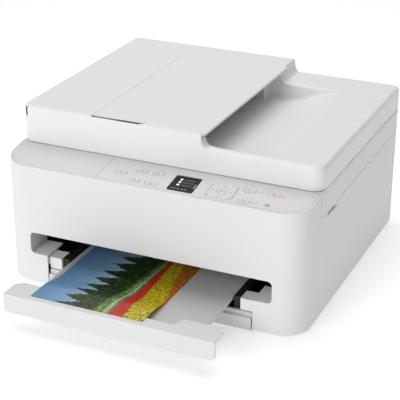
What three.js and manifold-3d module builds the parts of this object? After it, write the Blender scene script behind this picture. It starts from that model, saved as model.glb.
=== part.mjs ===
// Compact inkjet printer with a flatbed scanner and a document feeder on top.
// Millimetres. +Z is up, +X is to the right, and the front of the printer faces -Y.
// Z = 0 is the surface that the feet stand on. Until the last lines Y = 0 is the middle
// of the case; the whole model is then moved along Y to centre its bounding box.

import * as THREE from 'three';
import { mergeVertices } from 'three/addons/utils/BufferGeometryUtils.js';
import Module from 'manifold-3d';

const wasm = await Module();
wasm.setup();

// ---------------------------------------------------------------- driving dimensions

const WIDTH = 403; // case, side to side
const DEPTH = 379.4; // case, front face to rear face
const FOOT_HEIGHT = 2.5;
const CASE_HEIGHT = 136.3; // lower case, from its bottom edge to the seam under the scanner
const SCANNER_HEIGHT = 32.7; // scanner unit
const COVER_HEIGHT = 30.8; // document cover, low right-hand part
const FEEDER_RISE = 17.3; // document feeder above the low part
const WALL = 2.4; // moulded walls
const GAP = 0.4; // clearance between neighbouring pieces
const FRONT_RADIUS = 35; // vertical front corners of the case
const REAR_RADIUS = 12;
const COVER_RADIUS = 16; // vertical front corners of the document cover

const DECK_DEPTH = 55; // control deck, front to back
const DECK_DROP = 9; // the deck falls this much towards the front
const DECK_SPLIT_X = -69.5; // joint between the blank panel and the control panel

const SHEET_WIDTH = 210; // A4
const SHEET_LENGTH = 297;
const PHOTO_WIDTH = 148; // the print lying in the output tray, A5
const PHOTO_LENGTH = 210;
const PHOTO_LEFT = -SHEET_WIDTH / 2 + 1; // the print lies a millimetre inside the A4 width

const TRAY_TRAVEL = 107.5; // output tray, from closed to extended
const TRAY_MARGIN = 5.5; // tray plate beyond the sheet on each side
const RAIL_WIDTH = 9; // side walls of the cassette
const BLOCK_WIDTH = 16.5; // fixed blocks beside the cassette
const NOTCH_WIDTH = 23.5; // shelf of the output opening beside the cassette bay
const SHELF_HEIGHT = 42; // shelf above the bottom edge of the case
const OPENING_HEIGHT = 28.7; // output opening above the shelf
const OPENING_RADIUS = 6;
const CASSETTE_FRONT_HEIGHT = 22.3;

const CARRIAGE_WIDTH = 96;
const HINGE_RADIUS = 4;

// ---------------------------------------------------------------- places that follow

const HALF_W = WIDTH / 2;
const FRONT = -DEPTH / 2;
const REAR = DEPTH / 2;
const BASE_Z = FOOT_HEIGHT;
const SEAM_Z = BASE_Z + CASE_HEIGHT;
const COVER_SEAM_Z = SEAM_Z + SCANNER_HEIGHT;
const COVER_TOP = COVER_SEAM_Z + COVER_HEIGHT;
const FEEDER_TOP = COVER_TOP + FEEDER_RISE;
const COVER_FRONT = FRONT + DECK_DEPTH;
const DECK_FRONT_Z = COVER_SEAM_Z - DECK_DROP;
const DECK_TILT = Math.atan2(DECK_DROP, DECK_DEPTH);
const SHELF_Z = BASE_Z + SHELF_HEIGHT;
const OPENING_TOP = SHELF_Z + OPENING_HEIGHT;

const TRAY_HALF = SHEET_WIDTH / 2 + TRAY_MARGIN;
const RAIL_IN = TRAY_HALF + 2;
const RAIL_OUT = RAIL_IN + RAIL_WIDTH;
const BLOCK_IN = RAIL_OUT + 0.5;
const BLOCK_OUT = BLOCK_IN + BLOCK_WIDTH;
const BAY_HALF = BLOCK_OUT + 1;
const CASSETTE_HALF = BAY_HALF - 1.5;
const LIP_HALF = BAY_HALF - 2;
const OPENING_HALF = BAY_HALF + NOTCH_WIDTH;
const FRAME_IN = OPENING_HALF + WALL + GAP + 0.2;
const FRAME_OUT = FRAME_IN + WALL;
const MID_Y = FRONT + 189.7; // middle of the carriage's path, measured from the front
const HINGE_Y = REAR + HINGE_RADIUS;

// ---------------------------------------------------------------- geometry helpers

// Points are rounded to this fraction of a millimetre, which a 32-bit number holds exactly,
// so that faces meant to lie in one plane do.
const STEPS_PER_MM = 4096;

function toSolid(geometry) {
  const plain = geometry.clone();
  plain.deleteAttribute('normal');
  plain.deleteAttribute('uv');
  const { array } = plain.attributes.position;
  for (let i = 0; i < array.length; i += 1) {
    array[i] = Math.round(array[i] * STEPS_PER_MM) / STEPS_PER_MM;
  }
  const merged = mergeVertices(plain, 1e-4);
  return new wasm.Manifold(new wasm.Mesh({
    numProp: 3,
    vertProperties: new Float32Array(merged.attributes.position.array),
    triVerts: new Uint32Array(merged.index.array),
  }));
}

function toGeometry(solid) {
  const mesh = solid.getMesh();
  const geometry = new THREE.BufferGeometry();
  geometry.setAttribute('position', new THREE.BufferAttribute(mesh.vertProperties, 3));
  geometry.setIndex(new THREE.BufferAttribute(mesh.triVerts, 1));
  return geometry;
}

function join(first, ...others) {
  return toGeometry(others.reduce((sum, item) => sum.add(toSolid(item)), toSolid(first)));
}

function cut(first, ...others) {
  return toGeometry(others.reduce((rest, item) => rest.subtract(toSolid(item)), toSolid(first)));
}

function common(first, second) {
  return toGeometry(toSolid(first).intersect(toSolid(second)));
}

function box(x0, x1, y0, y1, z0, z1) {
  const geometry = new THREE.BoxGeometry(x1 - x0, y1 - y0, z1 - z0);
  return geometry.translate((x0 + x1) / 2, (y0 + y1) / 2, (z0 + z1) / 2);
}

// The same box on the left and on the right, from |x| = x0 to |x| = x1.
function boxPair(x0, x1, y0, y1, z0, z1) {
  return [box(x0, x1, y0, y1, z0, z1), box(-x1, -x0, y0, y1, z0, z1)];
}

function polygon(points) {
  return new THREE.Shape(points.map(([a, b]) => new THREE.Vector2(a, b)));
}

// Rectangle with one corner radius at its low side (y0) and another at its high side (y1).
function roundedRect(x0, x1, y0, y1, lowRadius, highRadius = lowRadius) {
  const shape = new THREE.Shape();
  const corners = [
    [x1 - lowRadius, y0 + lowRadius, lowRadius, -Math.PI / 2],
    [x1 - highRadius, y1 - highRadius, highRadius, 0],
    [x0 + highRadius, y1 - highRadius, highRadius, Math.PI / 2],
    [x0 + lowRadius, y0 + lowRadius, lowRadius, Math.PI],
  ];
  for (const [x, y, radius, start] of corners) {
    shape.absarc(x, y, radius, start, start + Math.PI / 2, false);
  }
  return shape;
}

function circle(x, y, radius) {
  return new THREE.Shape().absarc(x, y, radius, 0, 2 * Math.PI, false);
}

// Extrusions along Z (shape in XY), along X (shape in YZ) and along Y (shape in XZ).
function alongZ(shape, z0, z1, curveSegments = 6) {
  const options = { depth: z1 - z0, bevelEnabled: false, curveSegments };
  return new THREE.ExtrudeGeometry(shape, options).translate(0, 0, z0);
}

function alongX(shape, x0, x1, curveSegments = 6) {
  const turn = new THREE.Matrix4().makeBasis(
    new THREE.Vector3(0, 1, 0), new THREE.Vector3(0, 0, 1), new THREE.Vector3(1, 0, 0));
  return alongZ(shape, x0, x1, curveSegments).applyMatrix4(turn);
}

function alongY(shape, y0, y1, curveSegments = 6) {
  const turn = new THREE.Matrix4().makeBasis(
    new THREE.Vector3(1, 0, 0), new THREE.Vector3(0, 0, 1), new THREE.Vector3(0, -1, 0));
  return alongZ(shape, -y1, -y0, curveSegments).applyMatrix4(turn);
}

function rodX(x0, x1, y, z, radius, sides = 16) {
  const geometry = new THREE.CylinderGeometry(radius, radius, x1 - x0, sides);
  return geometry.rotateZ(-Math.PI / 2).translate((x0 + x1) / 2, y, z);
}

function rodY(y0, y1, x, z, radius, sides = 16) {
  const geometry = new THREE.CylinderGeometry(radius, radius, y1 - y0, sides);
  return geometry.translate(x, (y0 + y1) / 2, z);
}

// A turned piece: steps are [start, end, radius] along its axis, one after another.
function turned(steps, sides = 20) {
  const points = [new THREE.Vector2(0, steps[0][0])];
  for (const [start, end, radius] of steps) {
    points.push(new THREE.Vector2(radius, start), new THREE.Vector2(radius, end));
  }
  points.push(new THREE.Vector2(0, steps[steps.length - 1][1]));
  return new THREE.LatheGeometry(points, sides);
}

function turnedX(steps, y, z, sides) {
  return turned(steps, sides).rotateZ(-Math.PI / 2).translate(0, y, z);
}

function turnedY(steps, x, z, sides) {
  return turned(steps, sides).translate(x, 0, z);
}

// Outline of a belt that runs tight around a set of wheels: the hull of circles grown by
// a margin. Wheels are [a, b, radius] in the plane of the belt.
function beltOutline(wheels, margin) {
  const points = [];
  const steps = 24;
  for (const [a, b, radius] of wheels) {
    for (let i = 0; i < steps; i += 1) {
      const angle = (2 * Math.PI * i) / steps;
      const reach = radius + margin;
      points.push([a + reach * Math.cos(angle), b + reach * Math.sin(angle)]);
    }
  }
  points.sort((p, q) => p[0] - q[0] || p[1] - q[1]);
  const turnOf = (o, p, q) => (p[0] - o[0]) * (q[1] - o[1]) - (p[1] - o[1]) * (q[0] - o[0]);
  const chain = (list) => {
    const hull = [];
    for (const point of list) {
      while (hull.length > 1 && turnOf(hull.at(-2), hull.at(-1), point) <= 1e-6) hull.pop();
      hull.push(point);
    }
    return hull.slice(0, -1);
  };
  return polygon([...chain(points), ...chain(points.reverse())]);
}

// ---------------------------------------------------------------- materials and groups

const finish = (color, roughness, metalness = 0) => ({ color, roughness, metalness });
const WHITE = finish(0xe6e6e6, 0.55);
const PALE_GREY = finish(0xb9b9bb, 0.6);
const BLACK = finish(0x161617, 0.6);
const DARK = finish(0x2b2b2d, 0.6);
const STEEL = finish(0xb4b7ba, 0.35, 0.9);
const RUBBER = finish(0x3a3a3c, 0.9);
const BOARD = finish(0x1f5a3a, 0.6);
const GLASS = finish(0xa9c4c4, 0.08);
const SCREEN = finish(0x0a0b0d, 0.12);
const FOAM = finish(0xf2f2f0, 0.9);
const PRINT = finish(0x6f93b4, 0.35);

const printer = new THREE.Group();
const body = new THREE.Group();
printer.add(body);

function add(name, geometry, material, group = body) {
  const flat = geometry.index ? geometry.toNonIndexed() : geometry;
  flat.computeVertexNormals();
  const mesh = new THREE.Mesh(flat, new THREE.MeshStandardMaterial(material));
  mesh.name = name;
  group.add(mesh);
}

// ---------------------------------------------------------------- lower case

// Plan of the case, moved inwards by a margin.
function casePlan(inset) {
  return roundedRect(-HALF_W + inset, HALF_W - inset, FRONT + inset, REAR - inset,
    FRONT_RADIUS - inset, REAR_RADIUS - inset);
}

// Everything above the sloping deck plane lowered by depth, in front of yEnd.
function aboveDeck(depth, yEnd = COVER_FRONT) {
  const slope = DECK_DROP / DECK_DEPTH;
  const margin = 5;
  const frontZ = DECK_FRONT_Z - depth - margin * slope;
  const endZ = frontZ + (yEnd - FRONT + margin) * slope;
  const outline = polygon([[FRONT - margin, frontZ], [yEnd, endZ],
    [yEnd, FEEDER_TOP], [FRONT - margin, FEEDER_TOP]]);
  return alongX(outline, -HALF_W - 1, HALF_W + 1);
}

const FINGER_FRONT = FRONT + 77.7; // finger notches in both sides, to lift the scanner
const FINGER_BACK = FINGER_FRONT + 36;
const FINGER_DEPTH = 6.3;
const WINDOW_HALF = HALF_W - REAR_RADIUS;
const WINDOW_Z = BASE_Z + WALL + 0.2;

function mainCase() {
  const ring = cut(alongZ(casePlan(0), BASE_Z, COVER_SEAM_Z),
    alongZ(casePlan(WALL), BASE_Z - 1, COVER_SEAM_Z + 1));
  const bay = box(-BAY_HALF, BAY_HALF, FRONT - 1, FRONT + 20, 0, SHELF_Z + OPENING_RADIUS);
  const opening = alongY(roundedRect(-OPENING_HALF, OPENING_HALF, SHELF_Z, OPENING_TOP,
    OPENING_RADIUS), FRONT - 1, FRONT + 20);
  const aboveSeam = box(-HALF_W - 1, HALF_W + 1, COVER_FRONT + 0.2, REAR + 1,
    SEAM_Z, FEEDER_TOP);
  const notch = alongX(polygon([[FINGER_FRONT, SEAM_Z - FINGER_DEPTH],
    [FINGER_BACK, SEAM_Z - FINGER_DEPTH], [FINGER_BACK + 5, SEAM_Z + 1],
    [FINGER_FRONT - 5, SEAM_Z + 1]]), -HALF_W - 1, HALF_W + 1);
  const rearWindow = box(-WINDOW_HALF, WINDOW_HALF, REAR - WALL - 1, REAR + 1,
    WINDOW_Z, SEAM_Z + 1);
  return cut(ring, bay, opening, aboveSeam, notch, rearWindow,
    aboveDeck(0, COVER_FRONT + 0.3));
}
add('main_case', mainCase(), WHITE);

function basePan() {
  const floor = alongZ(casePlan(WALL + GAP), BASE_Z, BASE_Z + WALL);
  const ribs = boxPair(RAIL_OUT + GAP, RAIL_OUT + GAP + 2, FRONT + 20, REAR - 30,
    BASE_Z + WALL - 0.1, BASE_Z + 8);
  const frontGap = box(-BAY_HALF, BAY_HALF, FRONT - 1, FRONT + 12, 0, 30);
  return cut(join(floor, ...ribs), frontGap);
}
add('base_pan', basePan(), DARK);

const FOOT_RADIUS = 8;
const FOOT_INSET = 32;
for (const [side, x] of [['left', -HALF_W + FOOT_INSET], ['right', HALF_W - FOOT_INSET]]) {
  for (const [end, y] of [['front', FRONT + FOOT_INSET], ['rear', REAR - FOOT_INSET]]) {
    add(`foot_${end}_${side}`, alongZ(circle(x, y, FOOT_RADIUS), 0, BASE_Z - 0.3, 5), RUBBER);
  }
}

// Hinge knuckles on one piece: barrels about the hinge line and webs that hold them.
// Webs is the height range of the webs, measured from the hinge line.
const KNUCKLE_CENTRES = [-HALF_W + 66, HALF_W - 66];
const KNUCKLE_WIDTH = 30;
function knuckles(z, spans, webs) {
  return KNUCKLE_CENTRES.flatMap((centre) => spans.flatMap(([x0, x1]) => [
    rodX(centre + x0, centre + x1, HINGE_Y, z, HINGE_RADIUS, 16),
    box(centre + x0, centre + x1, REAR - WALL, HINGE_Y + HINGE_RADIUS * 0.5,
      z + webs[0], z + webs[1]),
  ]));
}
const INNER_SPAN = [[-KNUCKLE_WIDTH / 2, KNUCKLE_WIDTH / 2]];
const OUTER_SPANS = [
  [-KNUCKLE_WIDTH / 2 - 12, -KNUCKLE_WIDTH / 2 - 0.5],
  [KNUCKLE_WIDTH / 2 + 0.5, KNUCKLE_WIDTH / 2 + 12],
];

const INLET_X = -HALF_W + 36; // power inlet, seen from behind at the right
const INLET_Z = BASE_Z + 22.5;
const INLET_HALF_W = 12.5;
const INLET_HALF_H = 8.5;
const PORTS = [[60, 12, 11], [92, 14, 8], [128, 16, 13]]; // x, width and height of connectors
const PORT_Z = BASE_Z + 32;
const LOUVRE_COUNT = 12;
const LOUVRE_LEFT = -60;
const LOUVRE_PITCH = 8;
const LOUVRE_WIDTH = 3;

function rearPanel() {
  const plate = box(-WINDOW_HALF + GAP, WINDOW_HALF - GAP, REAR - WALL, REAR,
    WINDOW_Z + GAP, SEAM_Z - GAP);
  const holes = [box(INLET_X - INLET_HALF_W - 0.3, INLET_X + INLET_HALF_W + 0.3,
    REAR - 5, REAR + 1, INLET_Z - INLET_HALF_H - 0.3, INLET_Z + INLET_HALF_H + 0.3)];
  for (const [x, width, height] of PORTS) {
    holes.push(box(x - width / 2 - 0.4, x + width / 2 + 0.4, REAR - 5, REAR + 1,
      PORT_Z - 0.4, PORT_Z + height + 0.4));
  }
  for (let i = 0; i < LOUVRE_COUNT; i += 1) {
    const x = LOUVRE_LEFT + i * LOUVRE_PITCH;
    holes.push(box(x, x + LOUVRE_WIDTH, REAR - 5, REAR + 1, BASE_Z + 26, BASE_Z + 56));
  }
  return cut(join(plate, ...knuckles(SEAM_Z, OUTER_SPANS, [-7, -GAP])), ...holes);
}
add('rear_panel', rearPanel(), WHITE);

function powerInlet() {
  const block = box(INLET_X - INLET_HALF_W, INLET_X + INLET_HALF_W, REAR - 24, REAR - 0.6,
    INLET_Z - INLET_HALF_H, INLET_Z + INLET_HALF_H);
  const socket = alongY(roundedRect(INLET_X - 9, INLET_X + 9, INLET_Z - 5, INLET_Z + 5, 4),
    REAR - 16, REAR + 1);
  const pins = [-4, 4].map((x) => rodY(REAR - 16.5, REAR - 4, INLET_X + x, INLET_Z, 1.2, 10));
  return join(cut(block, socket), ...pins);
}
add('power_inlet', powerInlet(), BLACK);

function mainBoard() {
  const boardY = REAR - 14;
  const card = box(20, 156, boardY, boardY + 1.6, BASE_Z + 24, BASE_Z + 104);
  const ports = PORTS.map(([x, width, height]) => box(x - width / 2, x + width / 2,
    boardY + 1, REAR - 0.5, PORT_Z, PORT_Z + height));
  const chips = [[50, 66, 24], [96, 72, 16], [124, 60, 20]].map(([x, z, size]) => box(
    x - size / 2, x + size / 2, boardY - 3, boardY + 0.5,
    BASE_Z + z - size / 2, BASE_Z + z + size / 2));
  return join(card, ...ports, ...chips);
}
add('main_board', mainBoard(), BOARD);

add('power_supply', box(-HALF_W + 6, -BAY_HALF - WALL - 4, MID_Y + 20, REAR - 50,
  BASE_Z + WALL + 0.5, SHELF_Z - WALL - 1), BLACK);

// ---------------------------------------------------------------- control deck

// Deck frame: x to the right, y up the slope from the front edge, z out of the deck.
const deckMatrix = new THREE.Matrix4().makeRotationX(DECK_TILT)
  .setPosition(0, FRONT, DECK_FRONT_Z);
const onDeck = (geometry) => geometry.applyMatrix4(deckMatrix);

const KEY_CLEARANCE = 0.3;
const KEY_DEPTH = 3.2;
const KEY_PROUD = 0.25;
const KEY_ROWS = { front: 13, middle: 25, back: 35.6 };
const SMALL_KEY = [15, 8.6];
const PAD = { x: 88.5, y: 23.6, width: 35, height: 29.4, radius: 5 };
const OK_RADIUS = 6;
const KEYS = [
  { name: 'key_setup', x: -44, y: KEY_ROWS.middle },
  { name: 'key_copy', x: -21.5, y: KEY_ROWS.back },
  { name: 'key_scan', x: 0.3, y: KEY_ROWS.back },
  { name: 'key_fax', x: -21.5, y: KEY_ROWS.front },
  { name: 'key_print', x: 0.3, y: KEY_ROWS.front },
  { name: 'key_home', x: 119.6, y: KEY_ROWS.back },
  { name: 'key_stop', x: 149.5, y: KEY_ROWS.back },
  { name: 'key_start', x: 120.7, y: KEY_ROWS.front - 1 },
];

function keyShape({ x, y }, margin) {
  const [width, height] = SMALL_KEY;
  return roundedRect(x - width / 2 - margin, x + width / 2 + margin,
    y - height / 2 - margin, y + height / 2 + margin, height / 2 + margin - 0.01);
}

function padShape(margin) {
  return roundedRect(PAD.x - PAD.width / 2 - margin, PAD.x + PAD.width / 2 + margin,
    PAD.y - PAD.height / 2 - margin, PAD.y + PAD.height / 2 + margin, PAD.radius + margin);
}

const SCREEN_X = 40;
const SCREEN_Y = 24;
const SCREEN_SIZE = 33;
function screenShape(margin) {
  const half = SCREEN_SIZE / 2 + margin;
  return roundedRect(SCREEN_X - half, SCREEN_X + half, SCREEN_Y - half, SCREEN_Y + half,
    2 + margin);
}

function deckPanel(x0, x1) {
  const sheet = alongZ(casePlan(WALL + GAP), BASE_Z, FEEDER_TOP);
  const slab = cut(sheet, aboveDeck(0),
    box(-HALF_W, HALF_W, COVER_FRONT - 0.2, REAR, 0, FEEDER_TOP + 1));
  const skin = common(slab, aboveDeck(WALL));
  const rearWeb = box(-HALF_W + WALL + GAP, HALF_W - WALL - GAP, COVER_FRONT - 0.2 - WALL,
    COVER_FRONT - 0.2, SEAM_Z + 6, COVER_SEAM_Z - 1.5);
  return common(join(skin, rearWeb), box(x0, x1, FRONT, REAR, 0, FEEDER_TOP));
}

add('deck_left_panel', deckPanel(-HALF_W, DECK_SPLIT_X - GAP / 2), WHITE);

function controlPanel() {
  const hole = (shape) => onDeck(alongZ(shape, -KEY_DEPTH - 3, 2, 4));
  const holes = KEYS.map((key) => hole(keyShape(key, KEY_CLEARANCE)));
  holes.push(hole(padShape(KEY_CLEARANCE)), hole(screenShape(KEY_CLEARANCE)));
  return cut(deckPanel(DECK_SPLIT_X + GAP / 2, HALF_W), ...holes);
}
add('control_panel', controlPanel(), WHITE);

const deck = new THREE.Group();
deck.position.set(0, FRONT, DECK_FRONT_Z);
deck.rotation.x = DECK_TILT;
body.add(deck);

add('lcd_screen', alongZ(screenShape(0), -WALL, -0.05, 4), SCREEN, deck);
for (const key of KEYS) {
  add(key.name, alongZ(keyShape(key, 0), -KEY_DEPTH, KEY_PROUD, 4), WHITE, deck);
}
add('key_navigation', cut(alongZ(padShape(0), -KEY_DEPTH, KEY_PROUD, 4),
  alongZ(circle(PAD.x, PAD.y, OK_RADIUS + KEY_CLEARANCE), -KEY_DEPTH - 1, 2, 6)), WHITE, deck);
add('key_ok', alongZ(circle(PAD.x, PAD.y, OK_RADIUS), -KEY_DEPTH, KEY_PROUD, 6), WHITE, deck);

// ---------------------------------------------------------------- frame and paper path

const BEZEL_FRONT = FRONT + WALL + GAP;
const SHELF_BACK = FRONT + 40;
const BLOCK_RECESS = 5;
const BLOCK_BACK = FRONT + 25.7;
const BLOCK_TOP = SHELF_Z - 3.3;

function exitBezel() {
  const floors = boxPair(BAY_HALF + 0.1, OPENING_HALF + WALL, BEZEL_FRONT, SHELF_BACK,
    SHELF_Z - WALL, SHELF_Z);
  const cheeks = boxPair(OPENING_HALF, OPENING_HALF + WALL, BEZEL_FRONT, SHELF_BACK,
    SHELF_Z - WALL, OPENING_TOP + WALL);
  const roof = box(-OPENING_HALF - WALL, OPENING_HALF + WALL, BEZEL_FRONT, FRONT + 30,
    OPENING_TOP, OPENING_TOP + WALL);
  const blocks = boxPair(BLOCK_IN, BLOCK_OUT, FRONT + BLOCK_RECESS, BLOCK_BACK,
    SHELF_Z - 16.5, BLOCK_TOP);
  const bridges = boxPair(BLOCK_OUT - 1, BAY_HALF + 2, FRONT + WALL + 3, BLOCK_BACK,
    SHELF_Z - 14, SHELF_Z - 3.3);
  const hangers = boxPair(BAY_HALF + 0.1, BAY_HALF + 2, FRONT + WALL + 3, BLOCK_BACK,
    SHELF_Z - 14, SHELF_Z - 1);
  return join(roof, ...cheeks, ...floors, ...blocks, ...bridges, ...hangers);
}
add('exit_bezel', exitBezel(), WHITE);

const FRAME_FRONT = SHELF_BACK + GAP;
const FRAME_BACK = REAR - 40;
const FRAME_TOP = SEAM_Z - 4;
const FEED_Y = MID_Y + 22;
const EXIT_Y = MID_Y - 48;
const MOTOR_Y = MID_Y + 100;
const ROLLER_Z = SHELF_Z + 15.5;

function innerFrame() {
  const bayWalls = boxPair(BAY_HALF + 1.5, BAY_HALF + 1.5 + WALL, FRAME_FRONT, FRAME_BACK,
    BASE_Z + WALL + GAP, SHELF_Z);
  const ledges = boxPair(BAY_HALF + 1.5, FRAME_OUT, FRAME_FRONT, FRAME_BACK,
    SHELF_Z - WALL, SHELF_Z);
  const sides = boxPair(FRAME_IN, FRAME_OUT, FRAME_FRONT, FRAME_BACK, SHELF_Z - WALL,
    FRAME_TOP);
  const back = box(-FRAME_OUT, FRAME_OUT, FRAME_BACK - WALL, FRAME_BACK,
    SHELF_Z - WALL, SHELF_Z + 70);
  const beam = box(-FRAME_OUT, FRAME_OUT, FRAME_FRONT, FRAME_FRONT + 8,
    OPENING_TOP + WALL + 1, OPENING_TOP + WALL + 5);
  const shaftHoles = [FEED_Y, EXIT_Y, MOTOR_Y].map((y) => rodX(-FRAME_OUT - 1, -FRAME_IN + 1,
    y, ROLLER_Z, 4.2));
  return cut(join(back, beam, ...bayWalls, ...ledges, ...sides), ...shaftHoles);
}
add('inner_frame', innerFrame(), BLACK);

const CARRIAGE_RIGHT = FRAME_IN - 4; // parked against the right side
const STATION_LEFT = CARRIAGE_RIGHT - 58;
const PLATEN_TOP = ROLLER_Z + 4.5;

function platen() {
  const outline = polygon([[EXIT_Y + 10, PLATEN_TOP - 6], [FEED_Y - 10, PLATEN_TOP - 6],
    [FEED_Y - 10, PLATEN_TOP], [EXIT_Y + 10, PLATEN_TOP]]);
  const trough = box(-SHEET_WIDTH / 2 + 4, SHEET_WIDTH / 2 - 4, MID_Y - 22, MID_Y - 4,
    PLATEN_TOP - 2.5, PLATEN_TOP + 1);
  return cut(alongX(outline, -FRAME_IN + 0.3, STATION_LEFT - 1), trough);
}
add('platen', platen(), BLACK);

const PULLEY_X0 = -FRAME_OUT - 14; // drive pulleys outside the left frame side
const PULLEY_X1 = -FRAME_OUT - 4;
const FEED_PULLEY_RADIUS = 10;
const EXIT_PULLEY_RADIUS = 8;
const MOTOR_PULLEY_RADIUS = 6;
const ROLL_END = SHEET_WIDTH / 2 + 7;

add('feed_roller', turnedX([[PULLEY_X0, PULLEY_X1, FEED_PULLEY_RADIUS],
  [PULLEY_X1, -ROLL_END, 3.5], [-ROLL_END, ROLL_END, 7],
  [ROLL_END, FRAME_IN - 0.5, 3.5]], FEED_Y, ROLLER_Z), STEEL);

function exitRoller() {
  const steps = [[PULLEY_X0, PULLEY_X1, EXIT_PULLEY_RADIUS]];
  let start = PULLEY_X1;
  for (let i = -2; i <= 2; i += 1) {
    const x = i * (SHEET_WIDTH / 5);
    steps.push([start, x - 5, 2.5], [x - 5, x + 5, 6]);
    start = x + 5;
  }
  steps.push([start, FRAME_IN - 0.5, 2.5]);
  return turnedX(steps, EXIT_Y, ROLLER_Z, 16);
}
add('exit_roller', exitRoller(), RUBBER);

const MOTOR_RADIUS = 14;
add('feed_motor', turnedX([[-FRAME_IN + 0.4, -FRAME_IN + 26, MOTOR_RADIUS],
  [-FRAME_IN + 26, -FRAME_IN + 29, 5]], MOTOR_Y, ROLLER_Z), STEEL);
add('feed_motor_pulley', turnedX([[PULLEY_X0, PULLEY_X1, MOTOR_PULLEY_RADIUS],
  [PULLEY_X1, -FRAME_IN + 0.1, 2]], MOTOR_Y, ROLLER_Z), STEEL);

const BELT_CLEARANCE = 0.4;
const BELT_THICKNESS = 1.2;
const FEED_WHEELS = [
  [EXIT_Y, ROLLER_Z, EXIT_PULLEY_RADIUS],
  [FEED_Y, ROLLER_Z, FEED_PULLEY_RADIUS],
  [MOTOR_Y, ROLLER_Z, MOTOR_PULLEY_RADIUS],
];
add('feed_belt', cut(
  alongX(beltOutline(FEED_WHEELS, BELT_CLEARANCE + BELT_THICKNESS),
    PULLEY_X0 + 2, PULLEY_X1 - 2),
  alongX(beltOutline(FEED_WHEELS, BELT_CLEARANCE), PULLEY_X0 + 1, PULLEY_X1 - 1)), RUBBER);

const PICKUP_Y = MID_Y + 80;
const PICKUP_RADIUS = 12;
const CASSETTE_Z = BASE_Z + 3.1;
const LOW_WALL_Z = CASSETTE_Z + 12.4;
const PICKUP_Z = LOW_WALL_Z + PICKUP_RADIUS + 1;
add('pickup_roller', turnedX([[-BAY_HALF - 1, -16, 2.5], [-16, 16, PICKUP_RADIUS],
  [16, BAY_HALF + 1, 2.5]], PICKUP_Y, PICKUP_Z), RUBBER);

function maintenanceStation() {
  const back = MID_Y + 12;
  const front = MID_Y - 36;
  const tub = box(STATION_LEFT, CARRIAGE_RIGHT, front, back, SHELF_Z + 2, ROLLER_Z + 5);
  const caps = [STATION_LEFT + 16, STATION_LEFT + 42].map((x) => box(x - 9, x + 9,
    front + 8, back - 8, ROLLER_Z + 4, ROLLER_Z + 8.5));
  const wells = [STATION_LEFT + 16, STATION_LEFT + 42].map((x) => box(x - 6, x + 6,
    front + 11, back - 11, ROLLER_Z + 6, ROLLER_Z + 10));
  return cut(join(tub, ...caps), ...wells);
}
add('maintenance_station', maintenanceStation(), DARK);

// ---------------------------------------------------------------- print carriage

const CARRIAGE_FLOOR = ROLLER_Z + 10;
const RAIL_Y = MID_Y + 53;
const BELT_Z = CARRIAGE_FLOOR + 30;
const CARRIAGE_PULLEY_RADIUS = 6;
const CARRIAGE_PULLEY_X = FRAME_IN - 16;
const CARRIAGE_BACK = MID_Y + 45;
const CARRIAGE_FRONT = MID_Y - 36;
const RAIL_TOP = BELT_Z + 14;

function carriageRail() {
  const web = box(-FRAME_IN + 0.3, FRAME_IN - 0.3, RAIL_Y, RAIL_Y + 2,
    CARRIAGE_FLOOR + 4, RAIL_TOP);
  const flange = box(-FRAME_IN + 0.3, FRAME_IN - 0.3, RAIL_Y - 6, RAIL_Y + 2,
    CARRIAGE_FLOOR + 4, CARRIAGE_FLOOR + 6);
  const shaftHoles = [-1, 1].map((side) => rodY(RAIL_Y - 1, RAIL_Y + 3,
    side * CARRIAGE_PULLEY_X, BELT_Z, 3.2));
  return cut(join(web, flange), ...shaftHoles);
}
add('carriage_rail', carriageRail(), STEEL);

const BELT_Y0 = RAIL_Y - 7;
const BELT_Y1 = RAIL_Y - 2;
add('carriage_motor', turnedY([[RAIL_Y + 2.4, RAIL_Y + 26, 12], [RAIL_Y + 26, RAIL_Y + 28, 4]],
  -CARRIAGE_PULLEY_X, BELT_Z), STEEL);
add('carriage_motor_pulley', turnedY([[BELT_Y0, BELT_Y1, CARRIAGE_PULLEY_RADIUS],
  [BELT_Y1, RAIL_Y + 2.1, 2]], -CARRIAGE_PULLEY_X, BELT_Z), STEEL);
add('carriage_idler_pulley', turnedY([[BELT_Y0, BELT_Y1, CARRIAGE_PULLEY_RADIUS],
  [BELT_Y1, RAIL_Y + 2.1, 2]], CARRIAGE_PULLEY_X, BELT_Z), STEEL);
const CARRIAGE_WHEELS = [-1, 1].map((side) => [side * CARRIAGE_PULLEY_X, BELT_Z,
  CARRIAGE_PULLEY_RADIUS]);
add('carriage_belt', cut(
  alongY(beltOutline(CARRIAGE_WHEELS, BELT_CLEARANCE + BELT_THICKNESS),
    BELT_Y0 + 0.5, BELT_Y1 - 0.5),
  alongY(beltOutline(CARRIAGE_WHEELS, BELT_CLEARANCE), BELT_Y0 - 1, BELT_Y1 + 1)), RUBBER);

const CARRIAGE_LEFT = CARRIAGE_RIGHT - CARRIAGE_WIDTH;
const CARRIAGE_MID = (CARRIAGE_LEFT + CARRIAGE_RIGHT) / 2;
const CARTRIDGE_GAP = 0.5;
const BAY_WIDTH = (CARRIAGE_WIDTH - 3 * WALL) / 2;
const CARTRIDGE_BAYS = [CARRIAGE_LEFT + WALL, CARRIAGE_LEFT + 2 * WALL + BAY_WIDTH];

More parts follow.
